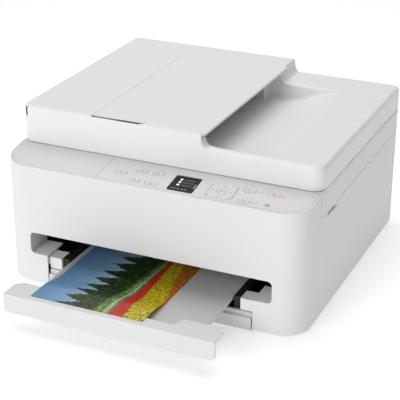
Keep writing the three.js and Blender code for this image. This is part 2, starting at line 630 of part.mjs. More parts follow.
function carriage() {
  const shell = box(CARRIAGE_LEFT, CARRIAGE_RIGHT, CARRIAGE_FRONT, CARRIAGE_BACK,
    CARRIAGE_FLOOR, CARRIAGE_FLOOR + 36);
  const bays = CARTRIDGE_BAYS.map((x) => box(x, x + BAY_WIDTH, CARRIAGE_FRONT + WALL,
    CARRIAGE_BACK - 8, CARRIAGE_FLOOR + WALL, CARRIAGE_FLOOR + 40));
  const lowFront = box(CARRIAGE_LEFT + WALL, CARRIAGE_RIGHT - WALL, CARRIAGE_FRONT - 1,
    CARRIAGE_FRONT + 6, CARRIAGE_FLOOR + 18, CARRIAGE_FLOOR + 40);
  const hook = box(CARRIAGE_MID - 30, CARRIAGE_MID + 30, CARRIAGE_BACK - 8, RAIL_Y + 4,
    RAIL_TOP + GAP, RAIL_TOP + GAP + WALL);
  const post = box(CARRIAGE_MID - 30, CARRIAGE_MID + 30, CARRIAGE_BACK - 8, CARRIAGE_BACK - 1,
    CARRIAGE_FLOOR + 30, RAIL_TOP + GAP + WALL);
  const clamp = box(CARRIAGE_MID - 8, CARRIAGE_MID + 8, CARRIAGE_BACK - 1, BELT_Y1 - 0.5,
    BELT_Z - 14, BELT_Z - CARRIAGE_PULLEY_RADIUS - BELT_CLEARANCE - BELT_THICKNESS - 0.3);
  return join(cut(shell, ...bays, lowFront), post, hook, clamp);
}
add('carriage', carriage(), BLACK);

['ink_cartridge_colour', 'ink_cartridge_black'].forEach((name, i) => {
  const x0 = CARTRIDGE_BAYS[i] + CARTRIDGE_GAP;
  const x1 = CARTRIDGE_BAYS[i] + BAY_WIDTH - CARTRIDGE_GAP;
  const y0 = CARRIAGE_FRONT + WALL + CARTRIDGE_GAP;
  const y1 = CARRIAGE_BACK - 8 - CARTRIDGE_GAP;
  const z0 = CARRIAGE_FLOOR + WALL + CARTRIDGE_GAP;
  const outline = polygon([[y0 + 6, z0], [y1, z0], [y1, z0 + 36], [y0 + 12, z0 + 36],
    [y0 + 6, z0 + 28], [y0 + 4, z0 + 14], [y0 + 4, z0 + 4]]);
  add(name, alongX(outline, x0, x1), DARK);
});

// ---------------------------------------------------------------- cassette

const CASSETTE_FRONT_Y = FRONT + 8.3;
const CASSETTE_BACK = FRONT + 20 + SHEET_LENGTH;
const RAIL_TOP_Z = SHELF_Z - 3.5;
const HIGH_RAIL_BACK = MID_Y - 20;

function cassetteBox() {
  const floor = box(-RAIL_OUT, RAIL_OUT, CASSETTE_FRONT_Y, CASSETTE_BACK,
    CASSETTE_Z, CASSETTE_Z + 1.8);
  const highWalls = boxPair(RAIL_IN, RAIL_OUT, CASSETTE_FRONT_Y, HIGH_RAIL_BACK,
    CASSETTE_Z, RAIL_TOP_Z);
  const lowWalls = boxPair(RAIL_IN, RAIL_OUT, HIGH_RAIL_BACK - 1, CASSETTE_BACK,
    CASSETTE_Z, LOW_WALL_Z);
  const backWall = box(-RAIL_OUT, RAIL_OUT, CASSETTE_BACK - 2, CASSETTE_BACK,
    CASSETTE_Z, LOW_WALL_Z);
  const frontWall = box(-RAIL_OUT, RAIL_OUT, CASSETTE_FRONT_Y, CASSETTE_FRONT_Y + 2,
    CASSETTE_Z, LOW_WALL_Z);
  return join(floor, backWall, frontWall, ...highWalls, ...lowWalls);
}
add('cassette_box', cassetteBox(), BLACK);

const CASSETTE_TOP = BASE_Z + CASSETTE_FRONT_HEIGHT;
const STEP_Z = BASE_Z + 16.5; // the lip covers the front of the cassette above this
const STEP_DEPTH = 4;
add('cassette_front', alongX(polygon([[FRONT, BASE_Z + 0.5], [FRONT + 8, BASE_Z + 0.5],
  [FRONT + 8, CASSETTE_TOP], [FRONT + STEP_DEPTH, CASSETTE_TOP], [FRONT + STEP_DEPTH, STEP_Z],
  [FRONT, STEP_Z]]), -CASSETTE_HALF, CASSETTE_HALF), WHITE);

const GUIDE_GAP = 0.5;
function sideGuide(side) {
  const x0 = SHEET_WIDTH / 2 + GUIDE_GAP;
  const y0 = MID_Y - 60;
  const y1 = MID_Y + 60;
  const wall = box(x0, x0 + 2, y0, y1, CASSETTE_Z + 2.3, CASSETTE_Z + 18);
  const base = box(x0 - 24, x0 + 1, y0 + 40, y1 - 40, CASSETTE_Z + 2.3, CASSETTE_Z + 3.8);
  const guide = join(wall, base);
  return side > 0 ? guide : guide.applyMatrix4(new THREE.Matrix4().makeRotationZ(Math.PI))
    .translate(0, 2 * MID_Y, 0);
}
add('paper_guide_left', sideGuide(-1), PALE_GREY);
add('paper_guide_right', sideGuide(1), PALE_GREY);

// ---------------------------------------------------------------- output tray

const LIP_FRONT = FRONT - TRAY_TRAVEL;
const LIP_THICKNESS = 3;
const LIP_TOP = SHELF_Z - 0.5;
const LIP_BOTTOM = BASE_Z + 17.5;
const FLANGE_THICKNESS = 2.2;
const FLANGE_DEEP = 34.2; // flange at the sides, from the front face of the lip
const FLANGE_SHALLOW = 18.2; // flange behind the notch in the middle
const NOTCH_HALF = 79;
const PLATE_TOP = SHELF_Z - 7.5;
const PLATE_THICKNESS = 3;
const PLATE_BACK = LIP_FRONT + 197;

function trayLip() {
  const plate = alongY(roundedRect(-LIP_HALF, LIP_HALF, LIP_BOTTOM, LIP_TOP, 5, 1),
    LIP_FRONT, LIP_FRONT + LIP_THICKNESS, 4);
  const deep = LIP_FRONT + FLANGE_DEEP;
  const shallow = LIP_FRONT + FLANGE_SHALLOW;
  const flange = alongZ(polygon([[-LIP_HALF, LIP_FRONT + 1], [LIP_HALF, LIP_FRONT + 1],
    [LIP_HALF, deep - 8], [LIP_HALF - 8, deep], [NOTCH_HALF + 6, deep],
    [NOTCH_HALF, shallow], [-NOTCH_HALF, shallow], [-NOTCH_HALF - 6, deep],
    [-LIP_HALF + 8, deep], [-LIP_HALF, deep - 8]]), LIP_TOP - FLANGE_THICKNESS, LIP_TOP);
  return join(plate, flange);
}
add('tray_lip', trayLip(), WHITE);

function trayPlate() {
  const sheet = box(-TRAY_HALF, TRAY_HALF, LIP_FRONT + LIP_THICKNESS + 0.3, PLATE_BACK,
    PLATE_TOP - PLATE_THICKNESS, PLATE_TOP);
  const edges = boxPair(TRAY_HALF - 3, TRAY_HALF, LIP_FRONT + LIP_THICKNESS + 0.3, PLATE_BACK,
    PLATE_TOP - 1, PLATE_TOP + 1);
  return join(sheet, ...edges);
}
add('tray_plate', trayPlate(), PALE_GREY);

// The print lies on the lip's flange at the front and on the plate behind it.
function printedSheet() {
  const thickness = 0.5;
  const y0 = LIP_FRONT + 8.6;
  const high = LIP_TOP + 0.35;
  const low = PLATE_TOP + 0.4;
  const line = new THREE.CubicBezierCurve(
    new THREE.Vector2(y0 + 26, high), new THREE.Vector2(y0 + 44, high),
    new THREE.Vector2(y0 + 52, low), new THREE.Vector2(y0 + 78, low)).getPoints(10);
  const lower = [[y0, high], ...line.map((p) => [p.x, p.y]), [y0 + PHOTO_LENGTH, low]];
  const upper = lower.map(([y, z]) => [y, z + thickness]).reverse();
  return alongX(polygon([...lower, ...upper]), PHOTO_LEFT, PHOTO_LEFT + PHOTO_WIDTH);
}
add('printed_sheet', printedSheet(), PRINT);

// ---------------------------------------------------------------- scanner unit

const SCANNER_FRONT = COVER_FRONT + 0.8;
const TUB_BOTTOM = SEAM_Z + GAP;
const BEZEL_BOTTOM = COVER_SEAM_Z - 2.8;
const TUB_TOP = BEZEL_BOTTOM - 0.3;

function scannerPlan(inset) {
  return roundedRect(-HALF_W + inset, HALF_W - inset, SCANNER_FRONT + inset, REAR - inset,
    1, REAR_RADIUS - inset);
}

function scannerTub() {
  const shell = cut(alongZ(scannerPlan(0), TUB_BOTTOM, TUB_TOP),
    alongZ(scannerPlan(WALL), TUB_BOTTOM + WALL, TUB_TOP + 1));
  const scoop = (side) => alongY(polygon([[side * (HALF_W + 1), TUB_BOTTOM - 1],
    [side * (HALF_W + 1), TUB_BOTTOM + 12], [side * (HALF_W - 0.2), TUB_BOTTOM + 9],
    [side * (HALF_W - 1.7), TUB_BOTTOM - 1]]), FINGER_FRONT, FINGER_BACK);
  const withScoops = cut(shell, scoop(1), scoop(-1));
  const rodBlocks = [-1, 1].map((side) => box(side * (HALF_W - WALL - 3) - 3.2,
    side * (HALF_W - WALL - 3) + 3.2, MID_Y + 4, MID_Y + 16, TUB_BOTTOM + 1, TUB_BOTTOM + 5.6));
  return join(withScoops, ...rodBlocks, ...knuckles(SEAM_Z, INNER_SPAN, [GAP, 7]));
}
add('scanner_tub', scannerTub(), WHITE);

const GLASS_LEFT = -HALF_W + 10.5;
const WINDOW_LEFT = -HALF_W + 36.5;
const WINDOW_RIGHT = WINDOW_LEFT + SHEET_LENGTH;
const WINDOW_FRONT = COVER_FRONT + 39.7;
const WINDOW_BACK = WINDOW_FRONT + SHEET_WIDTH + 6;
const GLASS_SEAT = 3;

function scannerBezel() {
  const frame = alongZ(scannerPlan(0), BEZEL_BOTTOM, COVER_SEAM_Z - GAP);
  const window = box(WINDOW_LEFT, WINDOW_RIGHT, WINDOW_FRONT, WINDOW_BACK, 0, FEEDER_TOP);
  const slit = box(GLASS_LEFT + GLASS_SEAT, GLASS_LEFT + GLASS_SEAT + 14,
    WINDOW_FRONT, WINDOW_BACK, 0, FEEDER_TOP);
  return join(cut(frame, window, slit), ...knuckles(COVER_SEAM_Z, OUTER_SPANS, [-2.8, -GAP]));
}
add('scanner_bezel', scannerBezel(), WHITE);

add('platen_glass', box(GLASS_LEFT, WINDOW_RIGHT + GLASS_SEAT, WINDOW_FRONT - GLASS_SEAT,
  WINDOW_BACK + GLASS_SEAT, BEZEL_BOTTOM - 3, BEZEL_BOTTOM - 0.3), GLASS);

const ROD_RADIUS = 3;
const ROD_Z = TUB_BOTTOM + 5.6 + 0.3 + ROD_RADIUS;
const ROD_Y = MID_Y + 10;
add('scan_guide_rod', rodX(-HALF_W + WALL + 0.5, HALF_W - WALL - 0.5, ROD_Y, ROD_Z,
  ROD_RADIUS, 12), STEEL);

const BAR_WIDTH = 18;
const BAR_LEFT = GLASS_LEFT + 1;
function scanBar() {
  const bar = box(BAR_LEFT, BAR_LEFT + BAR_WIDTH, WINDOW_FRONT - 2, WINDOW_BACK + 2,
    ROD_Z + 4, BEZEL_BOTTOM - 4.5);
  const shoe = box(BAR_LEFT, BAR_LEFT + BAR_WIDTH, ROD_Y - 7, ROD_Y + 7, ROD_Z - 2,
    ROD_Z + 5);
  return cut(join(bar, shoe), rodX(-HALF_W, HALF_W, ROD_Y, ROD_Z, ROD_RADIUS + 0.4, 12));
}
add('scan_bar', scanBar(), BLACK);

// ---------------------------------------------------------------- document cover

const FLAP_LEFT = -HALF_W + 99.5; // joint between the feeder cover and the document tray
const FLAP_RIGHT = FLAP_LEFT + 153;
const FLAP_THICKNESS = 3;
const FLAP_FRONT = COVER_FRONT + 2.4;
const FLAP_BACK = REAR - 41.7;
const FEEDER_SEAM_Z = COVER_TOP + 1.7; // top of the left wall under the feeder cover
const FEEDER_END = FLAP_RIGHT - 4; // the feeder's top ends here and curves down
const SLOT_LEFT = FLAP_LEFT + 132; // left end of the delivery recess, under the flap
const RECESS_RIGHT = HALF_W - 51.5;
const RECESS_FRONT = COVER_FRONT + 12.7;
const RECESS_BACK = REAR - 59.7;
const RECESS_FLOOR = COVER_TOP - 22.8;
const FLAP_AXIS_X = FLAP_RIGHT - 2;
const FLAP_AXIS_Z = FEEDER_TOP - 2.6;

function coverPlan(inset) {
  return roundedRect(-HALF_W + inset, HALF_W - inset, COVER_FRONT + inset, REAR - inset,
    COVER_RADIUS - inset, REAR_RADIUS - inset);
}

// Section of the delivery recess in XZ: a flat floor that rises gently to the right.
function recessSection(drop, top) {
  const shape = new THREE.Shape();
  shape.moveTo(SLOT_LEFT, RECESS_FLOOR - drop);
  shape.lineTo(FLAP_RIGHT + 2, RECESS_FLOOR - drop);
  shape.bezierCurveTo(FLAP_RIGHT + 38, RECESS_FLOOR - drop, RECESS_RIGHT - 36,
    COVER_TOP - drop, RECESS_RIGHT, COVER_TOP - drop);
  shape.lineTo(RECESS_RIGHT, top);
  shape.lineTo(SLOT_LEFT, top);
  return shape;
}

function lidShell() {
  const block = alongZ(coverPlan(0), COVER_SEAM_Z + GAP, FEEDER_TOP);
  const lowSide = new THREE.Shape();
  lowSide.moveTo(FEEDER_END, FEEDER_TOP + 1);
  lowSide.absarc(FEEDER_END + FEEDER_RISE, FEEDER_TOP, FEEDER_RISE, Math.PI, 1.5 * Math.PI);
  lowSide.lineTo(HALF_W + 1, COVER_TOP);
  lowSide.lineTo(HALF_W + 1, FEEDER_TOP + 1);
  const feederSeat = box(-HALF_W - 1, FLAP_LEFT + 0.1, FLAP_FRONT - GAP, FLAP_BACK + GAP,
    FEEDER_SEAM_Z, FEEDER_TOP + 1);
  const flapSeat = box(FLAP_LEFT, FLAP_RIGHT + 20, FLAP_FRONT - GAP, FLAP_BACK + GAP,
    FEEDER_TOP - FLAP_THICKNESS - GAP, FEEDER_TOP + 1);
  const bay = box(-HALF_W + WALL, FLAP_LEFT, RECESS_FRONT, FLAP_BACK - 8,
    RECESS_FLOOR + 2.5, FEEDER_TOP + 1);
  const inlet = box(FLAP_LEFT - 1, SLOT_LEFT - WALL, RECESS_FRONT + 8, FLAP_BACK - 30,
    FEEDER_TOP - 12.6, FEEDER_TOP + 1);
  const outlet = box(FLAP_LEFT - 1, SLOT_LEFT + 1, RECESS_FRONT + 8, FLAP_BACK - 30,
    RECESS_FLOOR + 4.5, RECESS_FLOOR + 16.5);
  const recess = alongY(recessSection(0, FEEDER_TOP + 1), RECESS_FRONT, RECESS_BACK, 10);
  const hingeRoom = box(FLAP_AXIS_X - 4, FLAP_AXIS_X + 4, FLAP_FRONT - GAP, FLAP_BACK + GAP,
    FLAP_AXIS_Z - 4, FEEDER_TOP + 1);
  const pinHole = rodY(FLAP_BACK - 1, FLAP_BACK + 6, FLAP_AXIS_X, FLAP_AXIS_Z, 1.6, 10);
  return cut(block, alongY(lowSide, COVER_FRONT - 1, REAR + 1, 8), feederSeat, flapSeat, bay,
    inlet, outlet, recess, hingeRoom, pinHole, ...lidHollows());
}

const LID_BASE_TOP = COVER_SEAM_Z + GAP + WALL;

// Hollows that open downwards and are closed by the lid base.
function lidHollows() {
  const skin = WALL;
  const under = alongY(recessSection(skin, COVER_SEAM_Z - 1), RECESS_FRONT - skin,
    RECESS_BACK + skin, 10);
  const low = box(-HALF_W + skin, SLOT_LEFT + 1, COVER_FRONT + skin + 6, REAR - skin - 4,
    COVER_SEAM_Z - 1, RECESS_FLOOR - skin);
  const right = box(RECESS_RIGHT - 1, HALF_W - skin, COVER_FRONT + skin + 8, REAR - skin - 6,
    COVER_SEAM_Z - 1, COVER_TOP - skin);
  const rear = box(-HALF_W + skin, FEEDER_END - 2, FLAP_BACK + skin + 4, REAR - skin - 4,
    COVER_SEAM_Z - 1, FEEDER_TOP - skin);
  const baseSeat = alongZ(coverPlan(skin), COVER_SEAM_Z - 1, LID_BASE_TOP + GAP);
  return [baseSeat, under, low, right, rear];
}

add('lid_shell', join(lidShell(), ...knuckles(COVER_SEAM_Z, INNER_SPAN, [GAP, 7])), WHITE);

add('lid_base', alongZ(coverPlan(WALL + GAP), COVER_SEAM_Z + GAP, LID_BASE_TOP), WHITE);

const PAD_MARGIN = 3;
add('pressure_pad', box(WINDOW_LEFT + PAD_MARGIN, WINDOW_RIGHT - PAD_MARGIN,
  WINDOW_FRONT + PAD_MARGIN, WINDOW_BACK - PAD_MARGIN, BEZEL_BOTTOM + 0.3,
  COVER_SEAM_Z + GAP - 0.3), FOAM);

function adfCover() {
  const left = -HALF_W;
  const top = box(left, FLAP_LEFT - GAP / 2, FLAP_FRONT, FLAP_BACK,
    FEEDER_TOP - FLAP_THICKNESS, FEEDER_TOP);
  const skirt = box(left, left + WALL, FLAP_FRONT, FLAP_BACK, FEEDER_SEAM_Z + GAP, FEEDER_TOP);
  return common(join(top, skirt), alongZ(coverPlan(0), 0, FEEDER_TOP + 1));
}
add('adf_cover', adfCover(), WHITE);

function documentTray() {
  const plate = box(FLAP_LEFT + GAP / 2, FLAP_RIGHT, FLAP_FRONT, FLAP_BACK,
    FEEDER_TOP - FLAP_THICKNESS, FEEDER_TOP);
  const pin = rodY(FLAP_BACK - 4, FLAP_BACK + 4.5, FLAP_AXIS_X, FLAP_AXIS_Z, 1.2, 10);
  return join(plate, pin);
}
add('document_tray', documentTray(), WHITE);

const BAY_FRONT = RECESS_FRONT + 0.5;
const BAY_BACK = FLAP_BACK - 8.5;
const PICK_X = FLAP_LEFT - 18;
const PICK_Z = FEEDER_TOP - 14.6;
add('adf_pick_roller', turnedY([[BAY_FRONT, -16, 2.5], [-16, 16, 9], [16, BAY_BACK, 2.5]],
  PICK_X, PICK_Z), RUBBER);
const ADF_FEED_X = FLAP_LEFT - 56;
const ADF_FEED_Z = FEEDER_TOP - 20;
add('adf_feed_roller', turnedY([[BAY_FRONT, -70, 3], [-70, 70, 12], [70, BAY_BACK, 3]],
  ADF_FEED_X, ADF_FEED_Z), RUBBER);

// The bounding box reaches from the extended tray to the hinge barrels behind the case.
body.position.y = (TRAY_TRAVEL - 2 * HINGE_RADIUS) / 2;

export default printer;
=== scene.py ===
"""Looks of the inkjet printer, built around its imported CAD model."""

import math

import bmesh
import bpy
from mathutils import Matrix, Vector


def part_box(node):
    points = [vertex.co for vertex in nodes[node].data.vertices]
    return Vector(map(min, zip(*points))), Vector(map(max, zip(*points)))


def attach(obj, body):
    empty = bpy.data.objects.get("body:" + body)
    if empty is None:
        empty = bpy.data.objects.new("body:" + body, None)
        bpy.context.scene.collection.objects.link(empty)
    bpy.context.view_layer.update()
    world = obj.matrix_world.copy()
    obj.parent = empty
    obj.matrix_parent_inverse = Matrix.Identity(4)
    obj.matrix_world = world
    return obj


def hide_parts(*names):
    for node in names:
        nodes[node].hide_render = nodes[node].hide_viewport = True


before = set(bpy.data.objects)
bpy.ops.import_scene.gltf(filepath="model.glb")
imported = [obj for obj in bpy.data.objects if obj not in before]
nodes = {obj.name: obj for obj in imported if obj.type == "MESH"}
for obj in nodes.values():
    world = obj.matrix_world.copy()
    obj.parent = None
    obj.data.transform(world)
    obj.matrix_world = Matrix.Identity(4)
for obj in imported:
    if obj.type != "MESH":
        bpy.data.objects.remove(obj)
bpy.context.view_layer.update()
MM = 0.001

# ------------------------------------------------------------------ sizes from the frame
# Lengths are millimetres in the frame's axes until a mesh is made.


def span(node):
    """Lowest and highest corner of a CAD node."""
    low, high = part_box(node)
    return Vector(low) / MM, Vector(high) / MM


case_low, case_high = span("main_case")
lid_low, lid_high = span("lid_shell")
lip_high = span("tray_lip")[1]
print_low, print_high = span("printed_sheet")
flap_low, flap_high = span("document_tray")
feeder_high = span("adf_cover")[1]
bezel_high = span("exit_bezel")[1]

WALL = 2.4
GAP = 0.4
HALF_W = case_high.x
FRONT = case_low.y
REAR = case_high.y
BASE_Z = case_low.z
HINGE_RADIUS = 4
SEAM_Z = span("rear_panel")[1].z - HINGE_RADIUS
COVER_SEAM_Z = case_high.z
COVER_FRONT = lid_low.y
FEEDER_TOP = lid_high.z
FEEDER_RISE = 17.3
COVER_TOP = FEEDER_TOP - FEEDER_RISE
FRONT_RADIUS = 35
REAR_RADIUS = 12
COVER_RADIUS = 16

# ------------------------------------------------------------------ camera

# In front of and to the right of the printer: place in metres, turns in radians, lens and
# sensor in millimetres.
CAMERA_AT = Vector((0.6117, -1.3541, 0.7597))
CAMERA_YAW = -0.419
CAMERA_PITCH = 0.423
CAMERA_ROLL = 0.005
LENS = 112.96
SENSOR = 36


def make_camera():
    """The camera that sees the printer as it is first shown."""
    ahead = Vector((math.sin(CAMERA_YAW) * math.cos(CAMERA_PITCH),
                    math.cos(CAMERA_YAW) * math.cos(CAMERA_PITCH),
                    -math.sin(CAMERA_PITCH)))
    right = ahead.cross(Vector((0, 0, 1))).normalized()
    up = right.cross(ahead)
    tilted_right = math.cos(CAMERA_ROLL) * right + math.sin(CAMERA_ROLL) * up
    tilted_up = math.cos(CAMERA_ROLL) * up - math.sin(CAMERA_ROLL) * right
    data = bpy.data.cameras.new("camera")
    data.lens = LENS
    data.sensor_width = SENSOR
    camera = bpy.data.objects.new("camera", data)
    bpy.context.scene.collection.objects.link(camera)
    axes = Matrix((tilted_right, tilted_up, -ahead)).transposed()
    camera.matrix_world = Matrix.Translation(CAMERA_AT) @ axes.to_4x4()
    bpy.context.scene.camera = camera


make_camera()

# ------------------------------------------------------------------ materials


class Nodes:
    """A small helper that builds one procedural material."""

    def __init__(self, name):
        self.material = bpy.data.materials.new(name)
        self.material.use_nodes = True
        self.tree = self.material.node_tree
        self.shader = self.tree.nodes["Principled BSDF"]
        self.position = self.tree.nodes.new("ShaderNodeTexCoord").outputs["Object"]

    def add(self, kind, inputs=(), **settings):
        node = self.tree.nodes.new(kind)
        for key, value in settings.items():
            setattr(node, key, value)
        for key, value in dict(inputs).items():
            self.feed(node.inputs[key], value)
        return node

    def feed(self, socket, value):
        if isinstance(value, bpy.types.NodeSocket):
            self.tree.links.new(value, socket)
        else:
            socket.default_value = value

    def noise(self, scale, detail=2.0, roughness=0.5, vector=None):
        return self.add("ShaderNodeTexNoise", {
            "Vector": vector or self.position, "Scale": scale, "Detail": detail,
            "Roughness": roughness}).outputs["Fac"]

    def ramp(self, value, stops):
        node = self.add("ShaderNodeValToRGB", {"Fac": value})
        while len(node.color_ramp.elements) < len(stops):
            node.color_ramp.elements.new(0.5)
        for element, (place, colour) in zip(node.color_ramp.elements, stops):
            element.position = place
            element.color = (*colour, 1)
        return node.outputs["Color"]

    def spread(self, value, low, high):
        return self.add("ShaderNodeMapRange", {
            "Value": value, "To Min": low, "To Max": high}).outputs["Result"]

    def bump(self, height, strength, distance):
        return self.add("ShaderNodeBump", {
            "Height": height, "Strength": strength, "Distance": distance}).outputs["Normal"]

    def math(self, operation, a, b=0.0):
        node = self.tree.nodes.new("ShaderNodeMath")
        node.operation = operation
        self.feed(node.inputs[0], a)
        self.feed(node.inputs[1], b)
        return node.outputs[0]

    def part(self, axis, low, high):
        """0 to 1 between two places, in millimetres, along an axis."""
        place = self.add("ShaderNodeSeparateXYZ", {"Vector": self.position}).outputs[axis]
        return self.add("ShaderNodeMapRange", {
            "Value": place, "From Min": low * MM, "From Max": high * MM}).outputs["Result"]

    def edge(self, value, line, softness):
        """0 below a line and 1 above it."""
        return self.add("ShaderNodeMapRange", {
            "Value": self.math("SUBTRACT", value, line), "From Min": -softness / 2,
            "From Max": softness / 2}).outputs["Result"]

    def blend(self, factor, a, b):
        node = self.tree.nodes.new("ShaderNodeMix")
        node.data_type = "RGBA"
        self.feed(node.inputs[0], factor)
        self.feed(node.inputs[6], a)
        self.feed(node.inputs[7], b)
        return node.outputs[2]

    def set(self, **values):
        names = {"colour": "Base Color", "roughness": "Roughness", "metal": "Metallic",
                 "normal": "Normal", "specular": "Specular IOR Level", "coat": "Coat Weight",
                 "coat_roughness": "Coat Roughness", "transmission": "Transmission Weight",
                 "ior": "IOR", "emission": "Emission Color", "glow": "Emission Strength"}
        for key, value in values.items():
            if key in ("colour", "emission") and isinstance(value, tuple):
                value = (*value, 1)
            self.feed(self.shader.inputs[names[key]], value)
        return self.material


def grey(value):
    return (value, value, value)


def moulded_plastic(name, colour, roughness=0.5, grain=0.25, specular=0.4):
    """Injection-moulded plastic: spark-eroded grain, and faint tone and gloss drift."""
    m = Nodes(name)
    drift = m.noise(9, 3)
    tone = m.ramp(drift, [(0.3, tuple(c * 0.985 for c in colour)), (0.7, colour)])
    fine = m.noise(2600, 2, 0.6)
    gloss = m.spread(m.noise(40, 2), roughness - 0.04, roughness + 0.05)
    return m.set(colour=tone, roughness=gloss, specular=specular,
                 normal=m.bump(fine, grain, 0.00006))


WHITE = moulded_plastic("white_plastic", grey(0.80), 0.5, 0.25)
# Painted shade: the deck's white plastic is made darker than the case's white, for the shade
# the cover's front wall casts on the deck.
SHADED_DECK_WHITE = moulded_plastic("deck_plastic_painted_shade", grey(0.71), 0.55, 0.35)
# Painted light: the cover's white plastic is made brighter than the case's white, for the
# stronger light that falls on the lid's faces.
LIT_COVER_WHITE = moulded_plastic("cover_plastic_painted_light", grey(0.86), 0.48, 0.3)
KEY_WHITE = moulded_plastic("key_plastic", grey(0.70), 0.45, 0.1)
INNER_GREY = moulded_plastic("bezel_plastic", grey(0.84), 0.5, 0.25)
# Painted shade: the cassette front and the tray lip are made darker than the case's white, for
# the shadow the paper tray casts on the cassette front.
SHADED_FRONT_WHITE = moulded_plastic("front_plastic_painted_shade", grey(0.73), 0.45, 0.2)
TRAY_GREY = moulded_plastic("tray_plastic", grey(0.62), 0.5, 0.2)
BLACK_PLASTIC = moulded_plastic("black_plastic", grey(0.012), 0.5, 0.4)
DARK_PLASTIC = moulded_plastic("dark_plastic", grey(0.06), 0.55, 0.4)
RUBBER = moulded_plastic("rubber", grey(0.025), 0.8, 0.6, 0.25)


def steel_material():
    m = Nodes("steel")
    stretched = m.add("ShaderNodeMapping", {"Vector": m.position, "Scale": (4, 900, 900)})
    brushed = m.noise(1, 4, 0.6, stretched.outputs["Vector"])
    tone = m.ramp(brushed, [(0.2, grey(0.42)), (0.8, grey(0.58))])
    return m.set(colour=tone, metal=1.0, roughness=m.spread(brushed, 0.25, 0.42),
                 normal=m.bump(brushed, 0.1, 0.00004))


STEEL = steel_material()


def board_material():
    m = Nodes("circuit_board")
    tracks = m.add("ShaderNodeTexBrick", {"Vector": m.position, "Scale": 160.0,
                                          "Mortar Size": 0.03,
                                          "Color1": (0.01, 0.10, 0.04, 1),
                                          "Color2": (0.012, 0.13, 0.05, 1),
                                          "Mortar": (0.03, 0.22, 0.09, 1)})
    return m.set(colour=tracks.outputs["Color"], roughness=0.35,
                 normal=m.bump(tracks.outputs["Fac"], 0.2, 0.0001))


BOARD = board_material()


def glass_material():
    m = Nodes("scanner_glass")
    smear = m.noise(25, 3)
    return m.set(colour=(0.86, 0.94, 0.93), roughness=m.spread(smear, 0.0, 0.05),
                 transmission=0.9, ior=1.5)


GLASS = glass_material()


def foam_material():
    m = Nodes("pad_foam")
    cells = m.noise(900, 4)
    tone = m.ramp(cells, [(0.2, grey(0.78)), (0.8, grey(0.86))])
    return m.set(colour=tone, roughness=0.85, normal=m.bump(cells, 0.3, 0.0001))


FOAM = foam_material()


def ink_material(name, colour, roughness=0.45, glow=0.0):
    """Screen-printed ink: slightly uneven cover."""
    m = Nodes(name)
    cover = m.noise(1500, 2)
    tone = m.ramp(cover, [(0.3, tuple(min(c * 1.15, 1) for c in colour)), (0.7, colour)])
    if glow:
        m.set(emission=colour, glow=glow)
    return m.set(colour=tone, roughness=roughness)


GREY_INK = ink_material("grey_ink", grey(0.24))
FAINT_INK = ink_material("faint_ink", grey(0.30))
DARK_INK = ink_material("dark_ink", grey(0.07))
RED_INK = ink_material("red_ink", (0.78, 0.20, 0.16))
TEAL_INK = ink_material("teal_ink", (0.10, 0.42, 0.36))
SCREEN_LIGHT = ink_material("screen_light", grey(0.75), 0.2, 0.35)
SCREEN_MID = ink_material("screen_mid", grey(0.35), 0.2, 0.15)
SCREEN_DIM = ink_material("screen_dim", grey(0.06), 0.2, 0.05)


def screen_material():
    m = Nodes("screen_black")
    smear = m.noise(60, 3)
    return m.set(colour=grey(0.011), roughness=m.spread(smear, 0.28, 0.4), specular=0.15)


SCREEN_BLACK = screen_material()


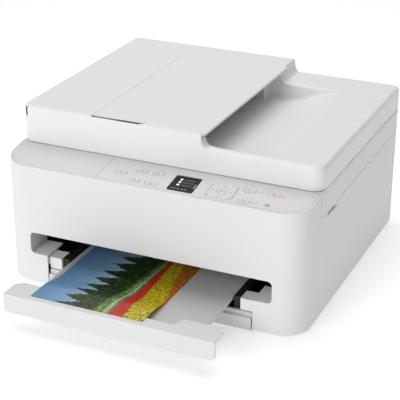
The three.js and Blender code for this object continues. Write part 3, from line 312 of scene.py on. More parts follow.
def photo_material():
    """A glossy print: trees against the sky above a path and rows of flowers. The picture
    stands upright towards the left, so its sky runs along the left edge."""
    m = Nodes("photo_paper")
    across = m.part("X", print_low.x, print_high.x)
    along = m.part("Y", print_low.y, print_high.y)
    rough = m.math("SUBTRACT", m.noise(55, 4, 0.6), 0.5)
    fine = m.math("SUBTRACT", m.noise(420, 3, 0.6), 0.5)
    sky = m.ramp(across, [(0.0, (0.10, 0.23, 0.42)), (0.25, (0.19, 0.35, 0.54)),
                          (0.55, (0.52, 0.62, 0.70))])
    leaves = m.ramp(m.noise(330, 4, 0.7), [(0.35, (0.002, 0.006, 0.003)),
                                           (0.50, (0.012, 0.030, 0.010)),
                                           (0.64, (0.07, 0.14, 0.035))])
    comb = m.math("PINGPONG", m.math("ADD", along, m.math("MULTIPLY", rough, 0.05)), 0.05)
    tips = m.math("ADD", 0.22, m.math("MULTIPLY", comb, 3.6))
    tips = m.math("ADD", tips, m.math("MULTIPLY", along, 0.12))
    tips = m.math("ADD", tips, m.math("MULTIPLY", fine, 0.16))
    grass = m.ramp(m.noise(300, 3), [(0.35, (0.03, 0.09, 0.01)), (0.65, (0.24, 0.38, 0.07))])
    path = m.ramp(m.noise(300, 2), [(0.3, (0.30, 0.36, 0.33)), (0.7, (0.52, 0.58, 0.55))])
    red = m.ramp(m.noise(700, 2), [(0.3, (0.42, 0.015, 0.01)), (0.7, (0.62, 0.05, 0.03))])
    dots = m.noise(520, 2)
    yellow = m.ramp(dots, [(0.38, (0.12, 0.13, 0.01)), (0.5, (0.60, 0.46, 0.01)),
                           (0.7, (0.86, 0.70, 0.03))])
    orange = m.ramp(dots, [(0.38, (0.10, 0.05, 0.01)), (0.5, (0.62, 0.16, 0.02)),
                           (0.7, (0.80, 0.32, 0.03))])
    picture = m.blend(m.edge(across, tips, 0.012), sky, leaves)

    def border(start, slope, wobble):
        line = m.math("ADD", start, m.math("MULTIPLY", along, slope))
        return m.math("ADD", line, m.math("MULTIPLY", fine, wobble))

    for line, colour, soft in ((border(0.565, 0.15, 0.10), grass, 0.03),
                               (border(0.645, 0.08, 0.0), path, 0.01),
                               (border(0.675, 0.05, 0.0), grass, 0.008),
                               (border(0.70, 0.025, 0.01), red, 0.008),
                               (border(0.825, -0.09, 0.03), yellow, 0.01),
                               (border(1.07, -0.29, 0.05), orange, 0.03)):
        picture = m.blend(m.edge(across, line, soft), picture, colour)
    return m.set(colour=picture, roughness=0.38, specular=0.3, coat=0.12,
                 coat_roughness=0.2)


PHOTO_PAPER = photo_material()

# ------------------------------------------------------------------ mesh tools


def rounded(x0, x1, y0, y1, low, high=None, steps=10):
    """Rounded rectangle, anticlockwise: radius low at y0 and high at y1."""
    high = low if high is None else high
    corners = ((x1 - low, y0 + low, low, -90), (x1 - high, y1 - high, high, 0),
               (x0 + high, y1 - high, high, 90), (x0 + low, y0 + low, low, 180))
    return [(x + r * math.cos(math.radians(start + 90 * i / steps)),
             y + r * math.sin(math.radians(start + 90 * i / steps)))
            for x, y, r, start in corners for i in range(steps + 1)]


def arc(x, y, radius, start, end, steps=12, squash=1.0):
    """Points along an arc, in degrees; squash scales it in its second direction."""
    turns = [math.radians(start + (end - start) * k / steps) for k in range(steps + 1)]
    return [(x + radius * math.cos(a), y + squash * radius * math.sin(a)) for a in turns]


def loft(rings, name="solid"):
    """A closed solid through rings of as many points each."""
    count = len(rings[0])
    points = [Vector(p) * MM for ring in rings for p in ring]
    faces = [tuple(range(count))[::-1],
             tuple(range(len(points) - count, len(points)))]
    for k in range(len(rings) - 1):
        for i in range(count):
            j = (i + 1) % count
            faces.append((k * count + i, k * count + j, (k + 1) * count + j,
                          (k + 1) * count + i))
    return mesh_object(name, points, faces)


def mesh_object(name, points, faces):
    """A mesh in the scene, with double points merged and its faces turned outwards."""
    mesh = bpy.data.meshes.new(name)
    mesh.from_pydata(points, [], faces)
    soup = bmesh.new()
    soup.from_mesh(mesh)
    bmesh.ops.remove_doubles(soup, verts=soup.verts, dist=1e-7)
    bmesh.ops.recalc_face_normals(soup, faces=soup.faces)
    soup.to_mesh(mesh)
    soup.free()
    thing = bpy.data.objects.new(name, mesh)
    bpy.context.scene.collection.objects.link(thing)
    return thing


def prism(outline, z0, z1, name="solid"):
    """An outline in XY raised from z0 to z1."""
    return loft([[(x, y, z) for x, y in outline] for z in (z0, z1)], name)


def along_x(outline, x0, x1, name="solid"):
    """An outline in YZ drawn out from x0 to x1."""
    return loft([[(x, y, z) for y, z in outline] for x in (x0, x1)], name)


def along_y(outline, y0, y1, name="solid"):
    """An outline in XZ drawn out from y0 to y1."""
    return loft([[(x, y, z) for x, z in outline] for y in (y1, y0)], name)


def block(x0, x1, y0, y1, z0, z1, name="solid"):
    return prism([(x0, y0), (x1, y0), (x1, y1), (x0, y1)], z0, z1, name)


def both_sides(make, x0, x1, *rest):
    """The same shape on the right and, mirrored, on the left."""
    return [make(x0, x1, *rest), make(-x1, -x0, *rest)]


def rod(axis, start, end, at, radius, sides=24, name="solid"):
    """A round bar along axis X, Y or Z; at is its place on the other two axes."""
    circle = [(at[0] + radius * math.cos(math.tau * i / sides),
               at[1] + radius * math.sin(math.tau * i / sides)) for i in range(sides)]
    return {"X": along_x, "Y": along_y, "Z": prism}[axis](circle, start, end, name)


def combine(target, tools, operation="DIFFERENCE"):
    """Cuts the tools from the target, or joins or intersects them with it."""
    for tool in tools:
        modifier = target.modifiers.new("combine", "BOOLEAN")
        modifier.object = tool
        modifier.operation = operation
        modifier.solver = "MANIFOLD"
    graph = bpy.context.evaluated_depsgraph_get()
    mesh = bpy.data.meshes.new_from_object(target.evaluated_get(graph))
    target.modifiers.clear()
    target.data = mesh
    for tool in tools:
        bpy.data.objects.remove(tool)
    return target


def copy_of(thing):
    twin = bpy.data.objects.new(thing.name, thing.data.copy())
    bpy.context.scene.collection.objects.link(twin)
    return twin


def smooth_group():
    """Geometry nodes that only shade every face smooth."""
    group = bpy.data.node_groups.new("shade_smooth", "GeometryNodeTree")
    group.interface.new_socket("Geometry", in_out="INPUT", socket_type="NodeSocketGeometry")
    group.interface.new_socket("Geometry", in_out="OUTPUT", socket_type="NodeSocketGeometry")
    start = group.nodes.new("NodeGroupInput")
    shade = group.nodes.new("GeometryNodeSetShadeSmooth")
    end = group.nodes.new("NodeGroupOutput")
    group.links.new(start.outputs[0], shade.inputs["Geometry"])
    group.links.new(shade.outputs["Geometry"], end.inputs[0])
    return group


SMOOTH = smooth_group()


def soften(thing, width, segments=2, angle=28):
    """Merges flat facets, rounds the edges and shades the whole smoothly."""
    merge = thing.modifiers.new("merge", "DECIMATE")
    merge.decimate_type = "DISSOLVE"
    merge.angle_limit = math.radians(0.6)
    bevel = thing.modifiers.new("edges", "BEVEL")
    bevel.width = width * MM
    bevel.segments = segments
    bevel.limit_method = "ANGLE"
    bevel.angle_limit = math.radians(angle)
    bevel.use_clamp_overlap = False
    shade = thing.modifiers.new("shade", "NODES")
    shade.node_group = SMOOTH
    normals = thing.modifiers.new("normals", "WEIGHTED_NORMAL")
    normals.keep_sharp = True
    normals.weight = 80


def piece(thing, name, material, body, replaced=(), width=0.35):
    """Names a finished solid and puts it on its body."""
    thing.name = name
    thing.data.materials.clear()
    thing.data.materials.append(material)
    if width:
        soften(thing, width)
    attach(thing, body)
    if replaced:
        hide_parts(*replaced)
    return thing

# ------------------------------------------------------------------ lower case

SHELF_Z = lip_high.z + 0.5
OPENING_TOP = bezel_high.z - WALL
OPENING_HALF = bezel_high.x - WALL
BAY_HALF = lip_high.x + 2
BOTTOM_FILLET = 4
FLOOR_INSET = 9
FRONT_CUT = 20
OPENING_RADIUS = 6
DECK_DROP = 9
DECK_DEPTH = COVER_FRONT - FRONT
DECK_FRONT_Z = COVER_SEAM_Z - DECK_DROP
DECK_TILT = math.atan2(DECK_DROP, DECK_DEPTH)
FINGER_FRONT = FRONT + 77.7
FINGER_BACK = FINGER_FRONT + 36
FINGER_DEPTH = 6.3
SKY = FEEDER_TOP + 5


def fillet_steps(radius, count=6):
    """Inset and rise along a quarter round, from its flat end to its upright end."""
    turns = [math.pi / 2 * k / count for k in range(count + 1)]
    return [(radius * (1 - math.sin(a)), radius * (1 - math.cos(a))) for a in turns]


def case_plan(inset, z):
    """Outline of the case at a height, set in from its walls."""
    return [(x, y, z) for x, y in rounded(
        -HALF_W + inset, HALF_W - inset, FRONT + inset, REAR - inset,
        FRONT_RADIUS - inset, REAR_RADIUS - inset)]


def above_deck(y_end):
    """All that lies above the sloping deck, back to a place behind it."""
    slope = DECK_DROP / DECK_DEPTH
    margin = 5
    front_z = DECK_FRONT_Z - margin * slope
    end_z = front_z + (y_end - FRONT + margin) * slope
    return along_x([(FRONT - margin, front_z), (y_end, end_z), (y_end, SKY),
                    (FRONT - margin, SKY)], -HALF_W - 1, HALF_W + 1)


def make_case():
    """The outer shell, open below for the floor, in front for the paper and behind."""
    rings = [case_plan(inset, BASE_Z + rise) for inset, rise in fillet_steps(BOTTOM_FILLET)]
    outer = loft(rings + [case_plan(0, COVER_SEAM_Z)])
    inside = loft([case_plan(FLOOR_INSET, BASE_Z - 1),
                   case_plan(FLOOR_INSET, BASE_Z + WALL),
                   case_plan(WALL, BASE_Z + 10), case_plan(WALL, COVER_SEAM_Z + 1)])
    bay = block(-BAY_HALF, BAY_HALF, FRONT - 1, FRONT + FRONT_CUT, 0,
                SHELF_Z + OPENING_RADIUS)
    opening = along_y(rounded(-OPENING_HALF, OPENING_HALF, SHELF_Z, OPENING_TOP,
                              OPENING_RADIUS), FRONT - 1, FRONT + FRONT_CUT)
    above_seam = block(-HALF_W - 1, HALF_W + 1, COVER_FRONT + 0.2, REAR + 1, SEAM_Z, SKY)
    notch = along_x([(FINGER_FRONT, SEAM_Z - FINGER_DEPTH),
                     (FINGER_BACK, SEAM_Z - FINGER_DEPTH), (FINGER_BACK + 5, SEAM_Z + 1),
                     (FINGER_FRONT - 5, SEAM_Z + 1)], -HALF_W - 1, HALF_W + 1)
    window_half = HALF_W - REAR_RADIUS
    rear_window = block(-window_half, window_half, REAR - WALL - 1, REAR + 1,
                        BASE_Z + WALL + 0.2, SEAM_Z + 1)
    shell = combine(outer, [inside, bay, opening, above_seam, notch, rear_window,
                            above_deck(COVER_FRONT + 0.3)])
    piece(shell, "case_shell", WHITE, "chassis", ["main_case"], 0.5)


def make_base():
    """The floor of the case, with two ribs on it and shallow pockets under it."""
    rib, rib_width, clearance = 121.9, 2, 0.3
    pan = prism([(x, y) for x, y, z in case_plan(FLOOR_INSET + clearance, 0)], BASE_Z,
                BASE_Z + WALL)
    ribs = both_sides(block, rib, rib + rib_width, FRONT + 20, REAR - 30, BASE_Z + 1,
                      BASE_Z + 8)
    pan = combine(pan, ribs, "UNION")
    pockets = [block(-BAY_HALF, BAY_HALF, FRONT - 1, FRONT + 12, 0, 30)]
    count, pitch_x, pitch_y, half_x, half_y, depth = 7, 36, 44, 15, 19, 0.9
    for i in range(count):
        for j in range(count):
            x, y = pitch_x * (i - count // 2), FRONT + 50 + pitch_y * j
            pockets.append(block(x - half_x, x + half_x, y - half_y, y + half_y, BASE_Z - 1,
                                 BASE_Z + depth))
    piece(combine(pan, pockets), "base_floor", DARK_PLASTIC, "chassis",
          ["base_pan"], 0.2)


make_case()
make_base()

# ------------------------------------------------------------------ document cover

FEEDER_END = flap_high.x - 4
FLAP_LEFT = flap_low.x - 0.2
FLAP_RIGHT = flap_high.x
FLAP_FRONT = flap_low.y
FLAP_BACK = feeder_high.y
FLAP_BOTTOM = FEEDER_TOP - 3
SLOT_LEFT = FLAP_LEFT + 132
RECESS_RIGHT = HALF_W - 51.5
RECESS_FRONT = COVER_FRONT + 12.7
RECESS_BACK = REAR - 59.7
RECESS_FLOOR = COVER_TOP - 22.8
COVER_BOTTOM = COVER_SEAM_Z + GAP
HINGE_Y = REAR + HINGE_RADIUS
KNUCKLE_HALF = 15
KNUCKLE_WEB = 7
HINGE_CENTRES = (-HALF_W + 66, HALF_W - 66)
FEEDER_FILLET = 4.5
COVER_FILLET = 5.5
STEP_WIDTH = 9
RIM_RADIUS = 4
FLAP_CORNER = 8
LEDGE_Z = COVER_TOP + 1.7
PIN_AT = (FLAP_RIGHT - 2, FEEDER_TOP - 2.6)
PIN_RADIUS = 1.2
NOTCH_SIDES = (168.3, 169.8)
NOTCH_DEPTH = 0.9
NOTCH_HEIGHT = 1.5


def round_in(distance, radius):
    """How far a quarter round has come in at a distance from its end."""
    reach = max(radius - distance, 0)
    return radius - math.sqrt(max(radius * radius - reach * reach, 0))


def cover_section(x):
    """Outline of the cover in YZ at one place across it."""
    left, right = x + HALF_W, HALF_W - x
    beyond = (x - FEEDER_END) / STEP_WIDTH
    if beyond <= 0:
        top, fillet = FEEDER_TOP, FEEDER_FILLET
    elif beyond < 1:
        top = FEEDER_TOP - FEEDER_RISE * math.sqrt(1 - (1 - beyond) ** 2)
        fillet = FEEDER_FILLET + (COVER_FILLET - FEEDER_FILLET) * beyond
    else:
        top, fillet = COVER_TOP, COVER_FILLET
    side = min(left, right)
    top -= round_in(side, fillet)
    front = COVER_FRONT + round_in(side, COVER_RADIUS)
    back = REAR - round_in(side, REAR_RADIUS)
    arc = [(inset, rise) for inset, rise in fillet_steps(fillet)]
    ring = [(front, COVER_BOTTOM), (back, COVER_BOTTOM)]
    ring += [(back - inset, top - rise) for inset, rise in reversed(arc)]
    ring += [(front + inset, top - rise) for inset, rise in arc]
    return [(x, y, z) for y, z in ring]


def cover_block():
    """The whole outer shape of the cover, with the feeder's step."""
    turns = [math.pi / 2 * k / 7 for k in range(8)]
    ends = {round(r * (1 - math.cos(a)), 3) for a in turns
            for r in (COVER_RADIUS, REAR_RADIUS, COVER_FILLET)}
    step = [FEEDER_END + STEP_WIDTH * (1 - math.cos(math.pi / 2 * k / 10))
            for k in range(11)]
    places = [-HALF_W + e for e in ends] + [HALF_W - e for e in ends] + step
    return loft([cover_section(x) for x in sorted(places)])


def recess_floor(t):
    """Point on the floor of the delivery recess, from the deep left to the high right."""
    a, b = (FLAP_RIGHT + 2, RECESS_FLOOR), (FLAP_RIGHT + 38, RECESS_FLOOR)
    c, d = (RECESS_RIGHT - 36, COVER_TOP), (RECESS_RIGHT, COVER_TOP + 0.3)
    weights = ((1 - t) ** 3, 3 * t * (1 - t) ** 2, 3 * t * t * (1 - t), t ** 3)
    return [sum(w * p[i] for w, p in zip(weights, (a, b, c, d))) for i in (0, 1)]


def recess_tool():
    """The delivery recess: deep under the flap, rounded along its foot and its rim."""
    stations = [(SLOT_LEFT, RECESS_FLOOR), (FLAP_RIGHT - 1, RECESS_FLOOR)]
    stations += [recess_floor(k / 24) for k in range(25)]
    rim_start = FEEDER_END + STEP_WIDTH
    rings = []
    for x, floor in stations:
        depth = max(COVER_TOP - floor, 0.3)
        foot = min(5, depth * 0.5)
        rim = max(min(RIM_RADIUS, depth * 0.4, (x - rim_start) * 0.4), 0.05)
        rim_z = max(COVER_TOP, floor + foot + rim + 0.02)
        half = [(inset, floor + rise) for inset, rise in fillet_steps(foot)]
        half += [(-rise, rim_z - inset) for inset, rise in fillet_steps(rim)]
        half.append((-rim, SKY))
        front = [(x, RECESS_FRONT + inset, z) for inset, z in half]
        back = [(x, RECESS_BACK - inset, z) for inset, z in reversed(half)]
        rings.append(front + back)
    return loft(rings)


def flap_plan(margin, left):
    """Outline of the flap, or of a seat around it, with its round front right corner."""
    reach = FLAP_CORNER + margin
    right = FLAP_RIGHT + margin
    centre = (FLAP_RIGHT - FLAP_CORNER, FLAP_FRONT + FLAP_CORNER)
    turns = [math.radians(-90 + 7.5 * k) for k in range(13)]
    corner = [(centre[0] + reach * math.cos(a), centre[1] + reach * math.sin(a))
              for a in turns]
    corner = [p for p in corner if p[0] > left + 0.01]
    return [(left, FLAP_BACK + margin), (left, corner[0][1]), *corner,
            (right, FLAP_BACK + margin)]


def knuckle(centre, z):
    """A hinge barrel behind the case, and the web that joins it to its shell."""
    x0, x1 = centre - KNUCKLE_HALF, centre + KNUCKLE_HALF
    return [rod("X", x0, x1, (HINGE_Y, z), HINGE_RADIUS),
            block(x0, x1, REAR - WALL, HINGE_Y + 2, z + GAP, z + KNUCKLE_WEB)]


# The finger slit in the flap's front edge, which turns back and tapers at its right end.
SLIT_RIGHT = FLAP_LEFT + 64
SLIT = [(FLAP_LEFT - 0.2, FLAP_FRONT - 0.6), (SLIT_RIGHT, FLAP_FRONT - 0.6),
        (SLIT_RIGHT + 6, FLAP_FRONT + 1), (SLIT_RIGHT + 10, FLAP_FRONT + 8),
        (SLIT_RIGHT + 9.3, FLAP_FRONT + 8.2), (SLIT_RIGHT + 4, FLAP_FRONT + 3.2),
        (FLAP_LEFT - 0.2, FLAP_FRONT + 2.4)]


def make_cover():
    """The feeder's lid and flap and the cover's shell, all cut from one outer shape."""
    outer = cover_block()
    feeder = combine(copy_of(outer), [block(
        -HALF_W - 1, FLAP_LEFT - 0.2, FLAP_FRONT, FLAP_BACK, FLAP_BOTTOM, SKY)], "INTERSECT")
    skirt = combine(copy_of(outer), [block(
        -HALF_W - 1, -HALF_W + WALL, FLAP_FRONT, FLAP_BACK, LEDGE_Z + GAP, SKY)],
        "INTERSECT")
    feeder = combine(feeder, [skirt], "UNION")
    piece(feeder, "feeder_lid", LIT_COVER_WHITE, "feeder_cover",
          ["adf_cover"], 0.25)
    flap = combine(copy_of(outer), [block(
        FLAP_LEFT + 0.2, FLAP_RIGHT, FLAP_FRONT, FLAP_BACK, FLAP_BOTTOM, SKY)], "INTERSECT")
    plate = block(FEEDER_END - 1, FLAP_RIGHT, FLAP_FRONT, FLAP_BACK, FLAP_BOTTOM,
                  FEEDER_TOP)
    flap = combine(flap, [plate], "UNION")
    flap = combine(flap, [prism(flap_plan(0, FLAP_LEFT), FLAP_BOTTOM - 1, SKY)], "INTERSECT")
    flap = combine(flap, [prism(SLIT, FLAP_BOTTOM - 1, SKY), block(
        FLAP_LEFT - 1, SLIT_RIGHT + 6, FLAP_FRONT - 1, FLAP_FRONT + 12, FLAP_BOTTOM - 1,
        FEEDER_TOP - 1)])
    flap = combine(flap, [rod("Y", FLAP_BACK - 4, FLAP_BACK + 4.5, PIN_AT, PIN_RADIUS)],
                   "UNION")
    piece(flap, "feeder_flap", LIT_COVER_WHITE, "document_flap",
          ["document_tray"], 0.12)
    seats = [
        # under the feeder's lid, and under the flap
        block(-HALF_W - 1, FLAP_LEFT + 0.1, FLAP_FRONT - 0.2, FLAP_BACK + GAP,
              LEDGE_Z, SKY),
        prism(flap_plan(GAP, FLAP_LEFT), FLAP_BOTTOM - GAP, SKY),
        # the feeder's cavity, and the passage under the flap to the delivery recess
        block(-HALF_W + WALL, FLAP_LEFT, RECESS_FRONT, FLAP_BACK - 8,
              RECESS_FLOOR + 2.5, SKY),
        block(FLAP_LEFT - 1, SLOT_LEFT - WALL, RECESS_FRONT + 8, FLAP_BACK - 30,
              FEEDER_TOP - 12.6, SKY),
        block(FLAP_LEFT - 1, SLOT_LEFT + 1, RECESS_FRONT + 8, FLAP_BACK - 30,
              RECESS_FLOOR, RECESS_FLOOR + 16.5),
        recess_tool(),
        # room for the flap's right end and its hinge pin
        prism(flap_plan(GAP, FLAP_RIGHT - 6), FEEDER_TOP - 6.6, SKY),
        rod("Y", FLAP_BACK - 1, FLAP_BACK + 6, PIN_AT, PIN_RADIUS + GAP),
        # the finger slit, deepest at its right end
        prism(SLIT, FEEDER_TOP - 7, SKY),
        block(SLIT_RIGHT - 32, SLIT_RIGHT + 1, FLAP_FRONT - 0.6, RECESS_FRONT + 9,
              FEEDER_TOP - 20, SKY),
        # a small notch at each end of the front edge, and the seat of the lid base
        *both_sides(block, *NOTCH_SIDES, COVER_FRONT - 1, COVER_FRONT + NOTCH_DEPTH,
                    COVER_BOTTOM - 1, COVER_BOTTOM + NOTCH_HEIGHT),
        prism([(x, y) for x, y in rounded(
            -HALF_W + WALL, HALF_W - WALL, COVER_FRONT + WALL, REAR - WALL,
            COVER_RADIUS - WALL, REAR_RADIUS - WALL)], COVER_BOTTOM - 1,
            COVER_BOTTOM + WALL + GAP),
    ]
    shell = combine(outer, seats)
    for centre in HINGE_CENTRES:
        shell = combine(shell, knuckle(centre, COVER_SEAM_Z), "UNION")
    piece(shell, "cover_shell", LIT_COVER_WHITE, "document_cover",
          ["lid_shell"], 0.5)


make_cover()

# ------------------------------------------------------------------ scanner housing

TUB_BOTTOM = SEAM_Z + GAP
TUB_TOP = COVER_SEAM_Z - 3.1
TAB_GAP = 0.7
ROD_BLOCK_Y = FRONT + 193.7
ROD_BLOCK = (6.2, 12, 5.6)
SCOOP_RINGS = ((2.0, 9, 7), (1.3, 13, 10), (0.5, 15.5, 12), (-0.6, 17, 13))


def make_tub():
    """The scanner's housing. A scooped tab on each side fills the finger notch of the case."""

    def plan(inset):
        return rounded(-HALF_W + inset, HALF_W - inset, COVER_FRONT + 0.8 + inset,
                       REAR - inset, 1, REAR_RADIUS - inset)

    tub = combine(prism(plan(0), TUB_BOTTOM, TUB_TOP),
                  [prism(plan(WALL), TUB_BOTTOM + WALL, TUB_TOP + 1)])
    low = SEAM_Z - FINGER_DEPTH + TAB_GAP
    tab = [(FINGER_FRONT, low), (FINGER_BACK - TAB_GAP, low),
           (FINGER_BACK + 4 - TAB_GAP, TUB_BOTTOM + 1), (FINGER_FRONT - 4, TUB_BOTTOM + 1)]
    tub = combine(tub, both_sides(lambda a, b: along_x(tab, a, b), HALF_W - WALL, HALF_W),
                  "UNION")
    middle = (FINGER_FRONT + FINGER_BACK) / 2
    scoops = []
    for side in (-1, 1):
        rings = []
        for depth, half, rise in SCOOP_RINGS:
            x = side * (HALF_W - depth)
            curve = arc(middle, low, half, 0, 180, 24, rise / half)
            rings.append([(x, middle + half, low - 2), *((x, y, z) for y, z in curve),
                          (x, middle - half, low - 2)])
        scoops.append(loft(rings))
    tub = combine(tub, scoops)
    across, deep, top = ROD_BLOCK
    blocks = both_sides(block, HALF_W - WALL - across, HALF_W - WALL + 0.2, ROD_BLOCK_Y,
                        ROD_BLOCK_Y + deep, TUB_BOTTOM + 1, TUB_BOTTOM + top)
    tub = combine(tub, blocks, "UNION")
    for centre in HINGE_CENTRES:
        tub = combine(tub, knuckle(centre, SEAM_Z), "UNION")
    piece(tub, "scanner_shell", WHITE, "scanner_unit", ["scanner_tub"], 0.4)


make_tub()

# ------------------------------------------------------------------ prints on the deck


def on_deck(x, y, z):
    """Deck frame to world: x right, y up the slope, z out of the deck."""
    return (x, FRONT + y * math.cos(DECK_TILT) - z * math.sin(DECK_TILT),
            DECK_FRONT_Z + y * math.sin(DECK_TILT) + z * math.cos(DECK_TILT))


def ribbon(points, width, closed=False):
    """Outline of a stroke of even width along some points."""
    left, right = [], []
    last = len(points) - 1
    for i, (x, y) in enumerate(points):
        before = points[i - 1] if i or closed else points[i]
        after = points[(i + 1) % len(points)] if i < last or closed else points[i]
        dx, dy = after[0] - before[0], after[1] - before[1]
        size = math.hypot(dx, dy) or 1
        left.append((x - dy / size * width / 2, y + dx / size * width / 2))
        right.append((x + dy / size * width / 2, y - dx / size * width / 2))
    if closed:
        left.append(left[0])
        right.append(right[0])
    return left, right


def frame_line(x0, x1, y0, y1, radius=0.4):
    """A small rounded rectangle for a print."""
    return rounded(x0, x1, y0, y1, radius, radius, 3)


def printed(name, strokes, material, body, lift, place=on_deck, height=0.05):
    """Thin raised print. A stroke is (points, width, closed), or (points, 0) if filled."""
    points, faces = [], []
    for stroke in strokes:
        line, width = stroke[0], stroke[1]
        closed = len(stroke) > 2 and stroke[2]
        start = len(points)
        if not width:
            count = len(line)
            for z in (lift, lift + height):
                points += [place(x, y, z) for x, y in line]
            faces.append(tuple(start + count + i for i in range(count)))
            faces.append(tuple(start + i for i in range(count))[::-1])
            for i in range(count):
                j = (i + 1) % count
                faces.append((start + i, start + j, start + count + j, start + count + i))
            continue
        left, right = ribbon(line, width, closed)
        count = len(left)
        for side in (left, right):
            for z in (lift, lift + height):
                points += [place(x, y, z) for x, y in side]
        low_l, top_l, low_r, top_r = (start + k * count for k in range(4))
        for i in range(count - 1):
            faces += [(top_l + i, top_r + i, top_r + i + 1, top_l + i + 1),
                      (low_l + i, low_l + i + 1, low_r + i + 1, low_r + i),
                      (low_l + i, top_l + i, top_l + i + 1, low_l + i + 1),
                      (low_r + i, low_r + i + 1, top_r + i + 1, top_r + i)]
        if not closed:
            end = count - 1
            faces += [(low_l, low_r, top_r, top_l),
                      (low_l + end, top_l + end, top_r + end, low_r + end)]
    thing = mesh_object(name, [Vector(p) * MM for p in points], faces)
    return piece(thing, name, material, body, (), 0)


def shifted(strokes, x, y):
    """The same strokes about another middle."""
    return [([(x + a, y + b) for a, b in s[0]], *s[1:]) for s in strokes]


# Strokes on the deck, in millimetres about each key's middle.
BRACKETS = [(arc(-3.0, 0, 4.3, 140, 220), 0.42), (arc(3.0, 0, 4.3, -40, 40), 0.42)]
ICON_SETUP = [(arc(-0.9, 0.7, 1.3, 20, 340), 0.5), ([(0.1, -0.1), (2.2, -1.6)], 0.6),
              ([(0.6, 1.7), (2.2, 1.7)], 0.4)]
ICON_COPY = [(frame_line(-2.4, 0.8, -1.9, 1.3), 0.4, True),
             (frame_line(-0.8, 2.4, -1.1, 2.1), 0.4, True)]
ICON_SCAN = [(frame_line(-2.5, 2.5, -1.8, -0.7), 0.4, True),
             ([(-2.2, 0.3), (2.0, 2.0)], 0.5), ([(-1.4, -1.2), (1.4, -1.2)], 0.35)]
ICON_FAX = [(frame_line(-2.4, 2.4, -1.8, 0.9), 0.4, True),
            ([(-1.2, 0.9), (-1.2, 2.1)], 0.4), ([(-1.2, 2.1), (1.2, 2.1)], 0.4),
            ([(1.2, 2.1), (1.2, 0.9)], 0.4), ([(-1.5, -0.6), (1.5, -0.6)], 0.4)]
ICON_PRINT = [(frame_line(-2.2, 2.2, -2.0, 2.0), 0.35, True),
              ([(-1.4, 0.9), (1.4, 0.9)], 0.35), ([(-1.4, 0), (1.4, 0)], 0.35),
              ([(-1.4, -0.9), (0.4, -0.9)], 0.35)]
ICON_HOME = [([(-2.2, 0.1), (0, 2.0), (2.2, 0.1)], 0.4), ([(-1.5, 0.2), (-1.5, -1.9)], 0.4),
             ([(-1.5, -1.9), (1.5, -1.9)], 0.4), ([(1.5, -1.9), (1.5, 0.2)], 0.4)]
ICON_STOP = [(arc(0, 0, 2.3, 0, 360, 24)[:-1], 0.9, True), ([(-0.9, -0.9), (0.9, 0.9)], 0.5),
             ([(-0.9, 0.9), (0.9, -0.9)], 0.5)]
ICON_START = [(arc(0, 0, 2.4, 0, 360, 24)[:-1], 0.45, True), ([(0, -1.2), (0, 1.2)], 0.5)]
ICON_OK = [(arc(0, 0, 5.2, 135, 225), 0.45), (arc(0, 0, 5.2, -45, 45), 0.45),
           (arc(0, 0, 1.3, 0, 360, 16)[:-1], 0.5, True)]
KEY_LIFT = 0.25
ROW_FRONT, ROW_MIDDLE, ROW_BACK = 13, 25, 35.6
# Each key's middle on the deck, its icon, and the inks of its brackets and its icon.
KEY_PRINTS = {"setup": (-44, ROW_MIDDLE, ICON_SETUP, GREY_INK, FAINT_INK),
              "copy": (-21.5, ROW_BACK, ICON_COPY, GREY_INK, FAINT_INK),
              "scan": (0.3, ROW_BACK, ICON_SCAN, GREY_INK, FAINT_INK),
              "fax": (-21.5, ROW_FRONT, ICON_FAX, GREY_INK, FAINT_INK),
              "print": (0.3, ROW_FRONT, ICON_PRINT, GREY_INK, FAINT_INK),
              "home": (119.6, ROW_BACK, ICON_HOME, GREY_INK, FAINT_INK),
              "stop": (149.5, ROW_BACK, ICON_STOP, GREY_INK, RED_INK),
              "start": (120.7, ROW_FRONT - 1, ICON_START, TEAL_INK, TEAL_INK)}
PAD_AT = (88.5, 23.6)
SCREEN_AT = (40, 24)


def make_key_prints():
    """Brackets and an icon on each key, and the navigation key's arrows."""
    for key, (x, y, icon, bracket_ink, icon_ink) in KEY_PRINTS.items():
        body = f"key_{key}_body"
        printed(f"bracket_{key}", shifted(BRACKETS, x, y), bracket_ink, body,
                KEY_LIFT)
        printed(f"icon_{key}", shifted(icon, x, y), icon_ink, body, KEY_LIFT)
    side = (arc(-11.6, 8.8, 4.6, 110, 180, 8) + arc(-11.6, -8.8, 4.6, 180, 250, 8))
    mirrored = [(-a, b) for a, b in side]
    printed("bracket_navigation", shifted([(side, 0.5), (mirrored, 0.5)], *PAD_AT),
            GREY_INK, "key_navigation_body", KEY_LIFT)
    arrows = []
    for turn in range(4):
        c, s = math.cos(turn * math.pi / 2), math.sin(turn * math.pi / 2)
        reach = 11.6 if turn % 2 == 0 else 9.6
        tip = [(reach + 1.0, 0), (reach - 0.7, 1.05), (reach - 0.7, -1.05)]
        arrows.append(([(a * c - b * s, a * s + b * c) for a, b in tip], 0))
    printed("arrows_navigation", shifted(arrows, *PAD_AT), DARK_INK,
            "key_navigation_body", KEY_LIFT)
    printed("icon_ok", shifted(ICON_OK, *PAD_AT), GREY_INK, "key_ok_body",
            KEY_LIFT)


def make_deck_prints():
    """Plain dashes in place of the deck's lettering, and a status mark."""
    dashes = [([(x, y), (x + length, y)], 0.9) for x, y, length in (
        (129.5, 35.2, 4.5), (135, 35.2, 2.5), (114.5, 29.0, 3.5), (119, 29.0, 4.5),
        (158.5, 35.0, 6.5), (130.0, 12.0, 3.0), (134, 12.0, 4.0))]
    printed("deck_dashes", dashes, FAINT_INK, "chassis", 0.0)
    status = [(frame_line(148.6, 152.4, 10.6, 14.0), 0.9, True),
              ([(145.6, 12.2), (146.8, 12.2)], 1.2)]
    printed("status_mark", status, DARK_INK, "chassis", 0.0)


